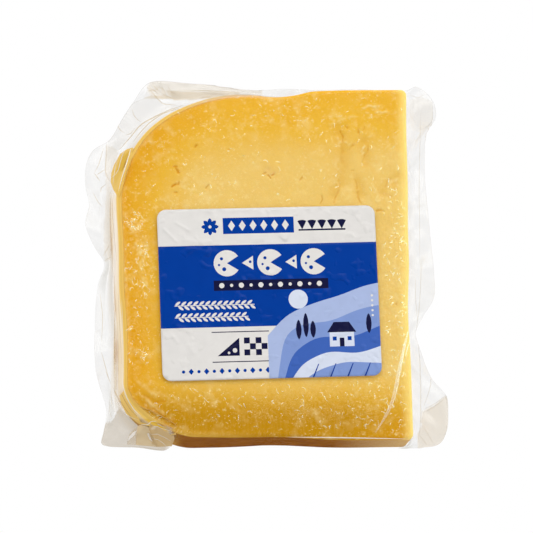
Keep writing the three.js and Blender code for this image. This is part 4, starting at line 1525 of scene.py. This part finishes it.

    # The rind: a dry brown crust on the wheel's flat sides, painted darker than its own brown as painted
    # shade for the chunk's shaded lower side, and scraped to golden tan round its rim.
    crust = add_node(
        tree,
        "ShaderNodeTexNoise",
        {"Vector": place, "Scale": 1 / (5 * MM), "Detail": 5.0, "Roughness": 0.6},
    ).outputs["Fac"]
    rind = add_node(tree, "ShaderNodeValToRGB", {"Fac": crust})
    for stop, position, colour in zip(rind.color_ramp.elements, (0.3, 0.7), ("#733f0e", "#91591c")):
        stop.position = position
        stop.color = linear(colour)
    scraped = add_node(
        tree,
        "ShaderNodeMapRange",
        {"Value": apart.outputs["X"], "From Min": -24 * MM, "From Max": -32 * MM},
        interpolation_type="SMOOTHSTEP",
    ).outputs["Result"]
    scrapes = add_node(
        tree, "ShaderNodeMix", {0: crust, 6: linear("#c8923c"), 7: linear("#e8ba62")}, data_type="RGBA"
    ).outputs[2]
    # Painted reflection: towards the trimmed side the rind is painted a paler beige for the film's sheen
    # over it.
    film_sheen = add_node(
        tree,
        "ShaderNodeMapRange",
        {"Value": apart.outputs["X"], "From Min": 20 * MM, "From Max": 42 * MM, "To Max": 0.9},
    ).outputs["Result"]
    rind_with_film_sheen = add_node(
        tree, "ShaderNodeMix", {0: film_sheen, 6: rind.outputs["Color"], 7: linear("#d2ab72")}, data_type="RGBA"
    ).outputs[2]
    crusted = add_node(
        tree, "ShaderNodeMix", {0: scraped, 6: rind_with_film_sheen, 7: scrapes}, data_type="RGBA"
    ).outputs[2]
    near = add_node(
        tree,
        "ShaderNodeMapRange",
        {"Value": from_rind, "From Min": 2.4, "From Max": 3.4, "To Min": 1.0, "To Max": 0.0},
    ).outputs["Result"]
    low = add_node(
        tree, "ShaderNodeMapRange", {"Value": under, "From Min": 1.0, "From Max": 1.9}
    ).outputs["Result"]
    on_rind = add_node(tree, "ShaderNodeMath", {0: near, 1: low}, operation="MULTIPLY").outputs[0]
    body = add_node(
        tree, "ShaderNodeMix", {0: on_rind, 6: face, 7: crusted}, data_type="RGBA"
    ).outputs[2]

    # The wire leaves the face faintly rough, with grains a little under a millimetre.
    grit = add_node(
        tree,
        "ShaderNodeTexNoise",
        {"Vector": place, "Scale": 1 / (0.7 * MM), "Detail": 3.0, "Roughness": 0.6},
    ).outputs["Fac"]
    bump = add_node(
        tree, "ShaderNodeBump", {"Height": grit, "Strength": 0.35, "Distance": 0.15 * MM}
    ).outputs["Normal"]
    surface = add_node(
        tree,
        "ShaderNodeBsdfPrincipled",
        {
            "Base Color": body,
            "Roughness": 0.6,
            "Specular IOR Level": 0.0,
            "Normal": bump,
            "Subsurface Weight": 0.2,
            "Subsurface Radius": (1.4, 1.0, 0.4),
            "Subsurface Scale": MM,
        },
    )
    add_node(tree, "ShaderNodeOutputMaterial", {"Surface": surface.outputs["BSDF"]})
    return material


def film_material():
    """Laminated film of nylon and polyethylene, blown and heat sealed: clear and glossy. Tight on
    the cheese it hardly shows. Loose it is a touch grey, and seen edge on it is darker. Creases
    and folds have the cheese's yellow light painted into them, crumpled ones are milky, painted
    shade darkens folds that lie in shade, and a painted sheen makes it milky where the view grazes it."""
    material, tree = new_material("vacuum_film")
    loose, cheese_light, milk, pinched, painted_shade, bunched_sheen = (
        add_node(tree, "ShaderNodeAttribute", attribute_name=name).outputs["Fac"]
        for name in ("loose", "cheese_light", "milk", "pinched", "painted_shade", "bunched_sheen")
    )

    # What the clear film lets through: the cheese's yellow light is painted into it, it dims edge on, and
    # painted shade darkens it.
    cheese_light_tint = add_node(tree, "ShaderNodeValToRGB", {"Fac": cheese_light})
    stops = cheese_light_tint.color_ramp.elements
    stops[0].color = linear("#fcfcfc")
    stops[1].color = linear("#e4bb66")
    for position, colour in ((0.4, "#f3e9d8"), (0.75, "#f2da98")):
        stops.new(position).color = linear(colour)
    layer = add_node(
        tree,
        "ShaderNodeMix",
        {0: loose, 6: linear("#ffffff"), 7: cheese_light_tint.outputs["Color"]},
        data_type="RGBA",
    ).outputs[2]
    facing = add_node(tree, "ShaderNodeLayerWeight", {"Blend": 0.5}).outputs["Facing"]
    edge_on = add_node(tree, "ShaderNodeMath", {0: facing, 1: loose}, operation="MULTIPLY").outputs[0]
    tint = add_node(
        tree,
        "ShaderNodeMix",
        {0: edge_on, 6: layer, 7: linear("#e6e4df")},
        data_type="RGBA",
    ).outputs[2]
    shaded_tint = add_node(
        tree, "ShaderNodeMix", {0: painted_shade, 6: tint, 7: linear("#8f7a50")}, data_type="RGBA"
    ).outputs[2]
    clear = add_node(tree, "ShaderNodeBsdfTransparent", {"Color": shaded_tint})

    # What the milky film scatters back: white, or with the yellow light of the cheese behind it painted
    # in, and darkened by painted shade.
    cloudy = add_node(tree, "ShaderNodeValToRGB", {"Fac": cheese_light})
    cloudy.color_ramp.elements[0].color = linear("#fefdfb")
    cloudy.color_ramp.elements[1].color = linear("#f3c74b")
    cloudy.color_ramp.elements.new(0.5).color = linear("#f5e3c0")
    shaded_cloud = add_node(
        tree,
        "ShaderNodeMix",
        {0: painted_shade, 6: cloudy.outputs["Color"], 7: linear("#a0723e")},
        data_type="RGBA",
    ).outputs[2]
    white = add_node(tree, "ShaderNodeBsdfDiffuse", {"Color": shaded_cloud})

    # Bunched in fine pleats it is clear from the front, and where the view grazes it a milky painted sheen
    # stands in for the white surroundings it mirrors.
    grazed = add_node(
        tree, "ShaderNodeMapRange", {"Value": facing, "From Min": 0.2, "From Max": 0.65}
    ).outputs["Result"]
    grazing_sheen = add_node(tree, "ShaderNodeMath", {0: grazed, 1: bunched_sheen}, operation="MULTIPLY").outputs[0]
    cloud = add_node(tree, "ShaderNodeMath", {0: milk, 1: grazing_sheen}, operation="MAXIMUM").outputs[0]

    # A clear film mirrors 4 to 8 percent straight on and far more at a grazing view, from either
    # side. Its fine crumples break that up, so less than half is left.
    grazing = add_node(tree, "ShaderNodeMath", {0: facing, 1: 5.0}, operation="POWER").outputs[0]
    mirror = add_node(
        tree, "ShaderNodeMath", {0: grazing, 1: 0.4, 2: 0.035}, operation="MULTIPLY_ADD"
    ).outputs[0]
    shine = add_node(
        tree, "ShaderNodeMix", {0: loose, 2: 0.012, 3: mirror}, data_type="FLOAT"
    ).outputs[0]
    gloss = add_node(tree, "ShaderNodeBsdfGlossy", {"Roughness": 0.2})
    glossy = add_node(
        tree, "ShaderNodeMixShader", {0: shine, 1: clear.outputs[0], 2: gloss.outputs[0]}
    )
    film = add_node(
        tree, "ShaderNodeMixShader", {0: cloud, 1: glossy.outputs[0], 2: white.outputs[0]}
    )

    # Where it is pinched up over the cheese, its sides catch the light. The glint hides some of
    # the paste's red and yellow, so what it adds is bluish.
    glint = add_node(
        tree, "ShaderNodeVectorMath", {0: linear("#a0ebff")[:3], "Scale": pinched}, operation="SCALE"
    ).outputs[0]
    glints = add_node(tree, "ShaderNodeBsdfGlossy", {"Color": glint, "Roughness": 0.3})
    surface = add_node(tree, "ShaderNodeAddShader", {0: film.outputs[0], 1: glints.outputs[0]})
    add_node(tree, "ShaderNodeOutputMaterial", {"Surface": surface.outputs[0]})
    return material


def printed_paper(name, colour):
    """Coated label paper with offset ink: flat colour under a satin varnish, faintly mottled."""
    material, tree = new_material(name)
    place = add_node(tree, "ShaderNodeTexCoord").outputs["Object"]
    mottle = add_node(
        tree, "ShaderNodeTexNoise", {"Vector": place, "Scale": 1 / (3 * MM), "Detail": 3.0}
    ).outputs["Fac"]
    shade = add_node(
        tree, "ShaderNodeMapRange", {"Value": mottle, "To Min": 0.93, "To Max": 1.05}
    ).outputs["Result"]
    ink = add_node(
        tree, "ShaderNodeVectorMath", {0: linear(colour)[:3], "Scale": shade}, operation="SCALE"
    ).outputs[0]
    fibres = add_node(
        tree, "ShaderNodeTexNoise", {"Vector": place, "Scale": 1 / (0.5 * MM), "Detail": 2.0}
    ).outputs["Fac"]
    dents = add_node(
        tree, "ShaderNodeTexNoise", {"Vector": place, "Scale": 1 / (3.6 * MM), "Detail": 1.0}
    ).outputs["Fac"]
    dented = add_node(
        tree, "ShaderNodeMapRange", {"Value": dents, "From Min": 0.6, "From Max": 0.8}
    ).outputs["Result"]
    relief = add_node(
        tree, "ShaderNodeMath", {0: fibres, 1: 0.04, 2: dented}, operation="MULTIPLY_ADD"
    ).outputs[0]
    bump = add_node(
        tree, "ShaderNodeBump", {"Height": relief, "Strength": 0.8, "Distance": 0.3 * MM}
    ).outputs["Normal"]
    surface = add_node(
        tree,
        "ShaderNodeBsdfPrincipled",
        {"Base Color": ink, "Roughness": 0.25, "Specular IOR Level": 0.1, "Normal": bump},
    )
    add_node(tree, "ShaderNodeOutputMaterial", {"Surface": surface.outputs["BSDF"]})
    return material


# The floor, the lights and the camera

CAMERA_DISTANCE = 1000.0
PHOTO_WIDTH = 159.9  # what the photo spans at the face, in millimetres
SENSOR_WIDTH = 36.0
TILT_DOWN = math.radians(9.6)  # from straight above towards the cheese's lower side
TILT_LEFT = math.radians(1.0)
AIM = (0.0, -1.6, (RIM_THICKNESS + TRIM_THICKNESS) / 2)


def make_camera():
    """It looks down on the chunk from so far off that its sides stay parallel."""
    back = Vector((
        -math.sin(TILT_LEFT) * math.cos(TILT_DOWN),
        -math.sin(TILT_DOWN),
        math.cos(TILT_LEFT) * math.cos(TILT_DOWN),
    )).normalized()
    right = Vector((0, 1, 0)).cross(back).normalized()
    up = back.cross(right)
    camera = bpy.data.objects.new("camera", bpy.data.cameras.new("camera"))
    camera.data.sensor_width = SENSOR_WIDTH
    camera.data.lens = SENSOR_WIDTH * CAMERA_DISTANCE / PHOTO_WIDTH
    turn = Matrix((right, up, back)).transposed().to_4x4()
    camera.matrix_world = Matrix.Translation(Vector(in_frame(AIM)) + back * CAMERA_DISTANCE * MM) @ turn
    bpy.context.scene.collection.objects.link(camera)
    bpy.context.scene.camera = camera


def make_light(name, place, size, watts):
    """A softbox that faces the chunk."""
    light = bpy.data.objects.new(name, bpy.data.lights.new(name, "AREA"))
    light.data.shape = "RECTANGLE"
    light.data.size, light.data.size_y = size
    light.data.energy = watts
    light.location = place
    aim = Vector((0, 0, 0.015)) - light.location
    light.rotation_euler = aim.to_track_quat("-Z", "Y").to_euler()
    bpy.context.scene.collection.objects.link(light)


def backdrop_material():
    """White acrylic lit from below, as under a packshot: it shows pure white and no shadow."""
    material, tree = new_material("lit_white_table")
    light = add_node(tree, "ShaderNodeEmission", {"Color": linear("#ffffff"), "Strength": 1.0})
    add_node(tree, "ShaderNodeOutputMaterial", {"Surface": light.outputs[0]})
    return material


def make_floor():
    mesh = bpy.data.meshes.new("floor")
    mesh.from_pydata([(-2, -2, 0), (2, -2, 0), (2, 2, 0), (-2, 2, 0)], [], [(0, 1, 2, 3)])
    mesh.materials.append(backdrop_material())
    floor = bpy.data.objects.new("floor", mesh)
    bpy.context.scene.collection.objects.link(floor)


def make_world():
    """A white studio, dark straight overhead where the camera stands."""
    world = bpy.data.worlds.new("studio")
    world.use_nodes = True
    tree = world.node_tree
    way = add_node(tree, "ShaderNodeTexCoord").outputs["Generated"]
    rise = add_node(tree, "ShaderNodeSeparateXYZ", {"Vector": way}).outputs["Z"]
    strength = add_node(
        tree,
        "ShaderNodeMapRange",
        {"Value": rise, "From Min": 0.9, "From Max": 0.98, "To Min": 0.75, "To Max": 0.08},
    ).outputs["Result"]
    background = tree.nodes["Background"]
    background.inputs["Color"].default_value = linear("#ffffff")
    tree.links.new(strength, background.inputs["Strength"])
    bpy.context.scene.world = world


make_camera()
make_floor()
make_world()
make_light("window", (0.05, 0.8, 0.8), (1.4, 0.8), 5.5)
make_light("side", (0.8, 0.05, 0.4), (0.4, 0.6), 1.6)
make_light("left", (-0.8, 0.2, 0.5), (0.6, 0.6), 1.25)
bpy.context.scene.view_settings.view_transform = "Standard"

cheese = make_cheese(cheese_material())
clear_film = film_material()
film, film_points, film_faces = make_film(clear_film)
flaps, flap_points, flap_faces = make_flaps(tree_of(film_points, film_faces), clear_film)
creases = make_creases(
    tree_of(
        [*film_points, *flap_points],
        film_faces + [tuple(len(film_points) + i for i in face) for face in flap_faces],
    ),
    clear_film,
)
label = make_label([
    printed_paper("label_paper", "#e0ddd9"),
    printed_paper("blue_ink", "#003a97"),
    printed_paper("navy_ink", "#15173c"),
    printed_paper("sky_ink", "#7f97cf"),
    printed_paper("hill_ink", "#3f63b4"),
    printed_paper("field_ink", "#a9b8dd"),
    printed_paper("pale_ink", "#d3daea"),
])
for piece in (cheese, film, creases, flaps):
    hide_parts("vacuum_pouch")
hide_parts("label")
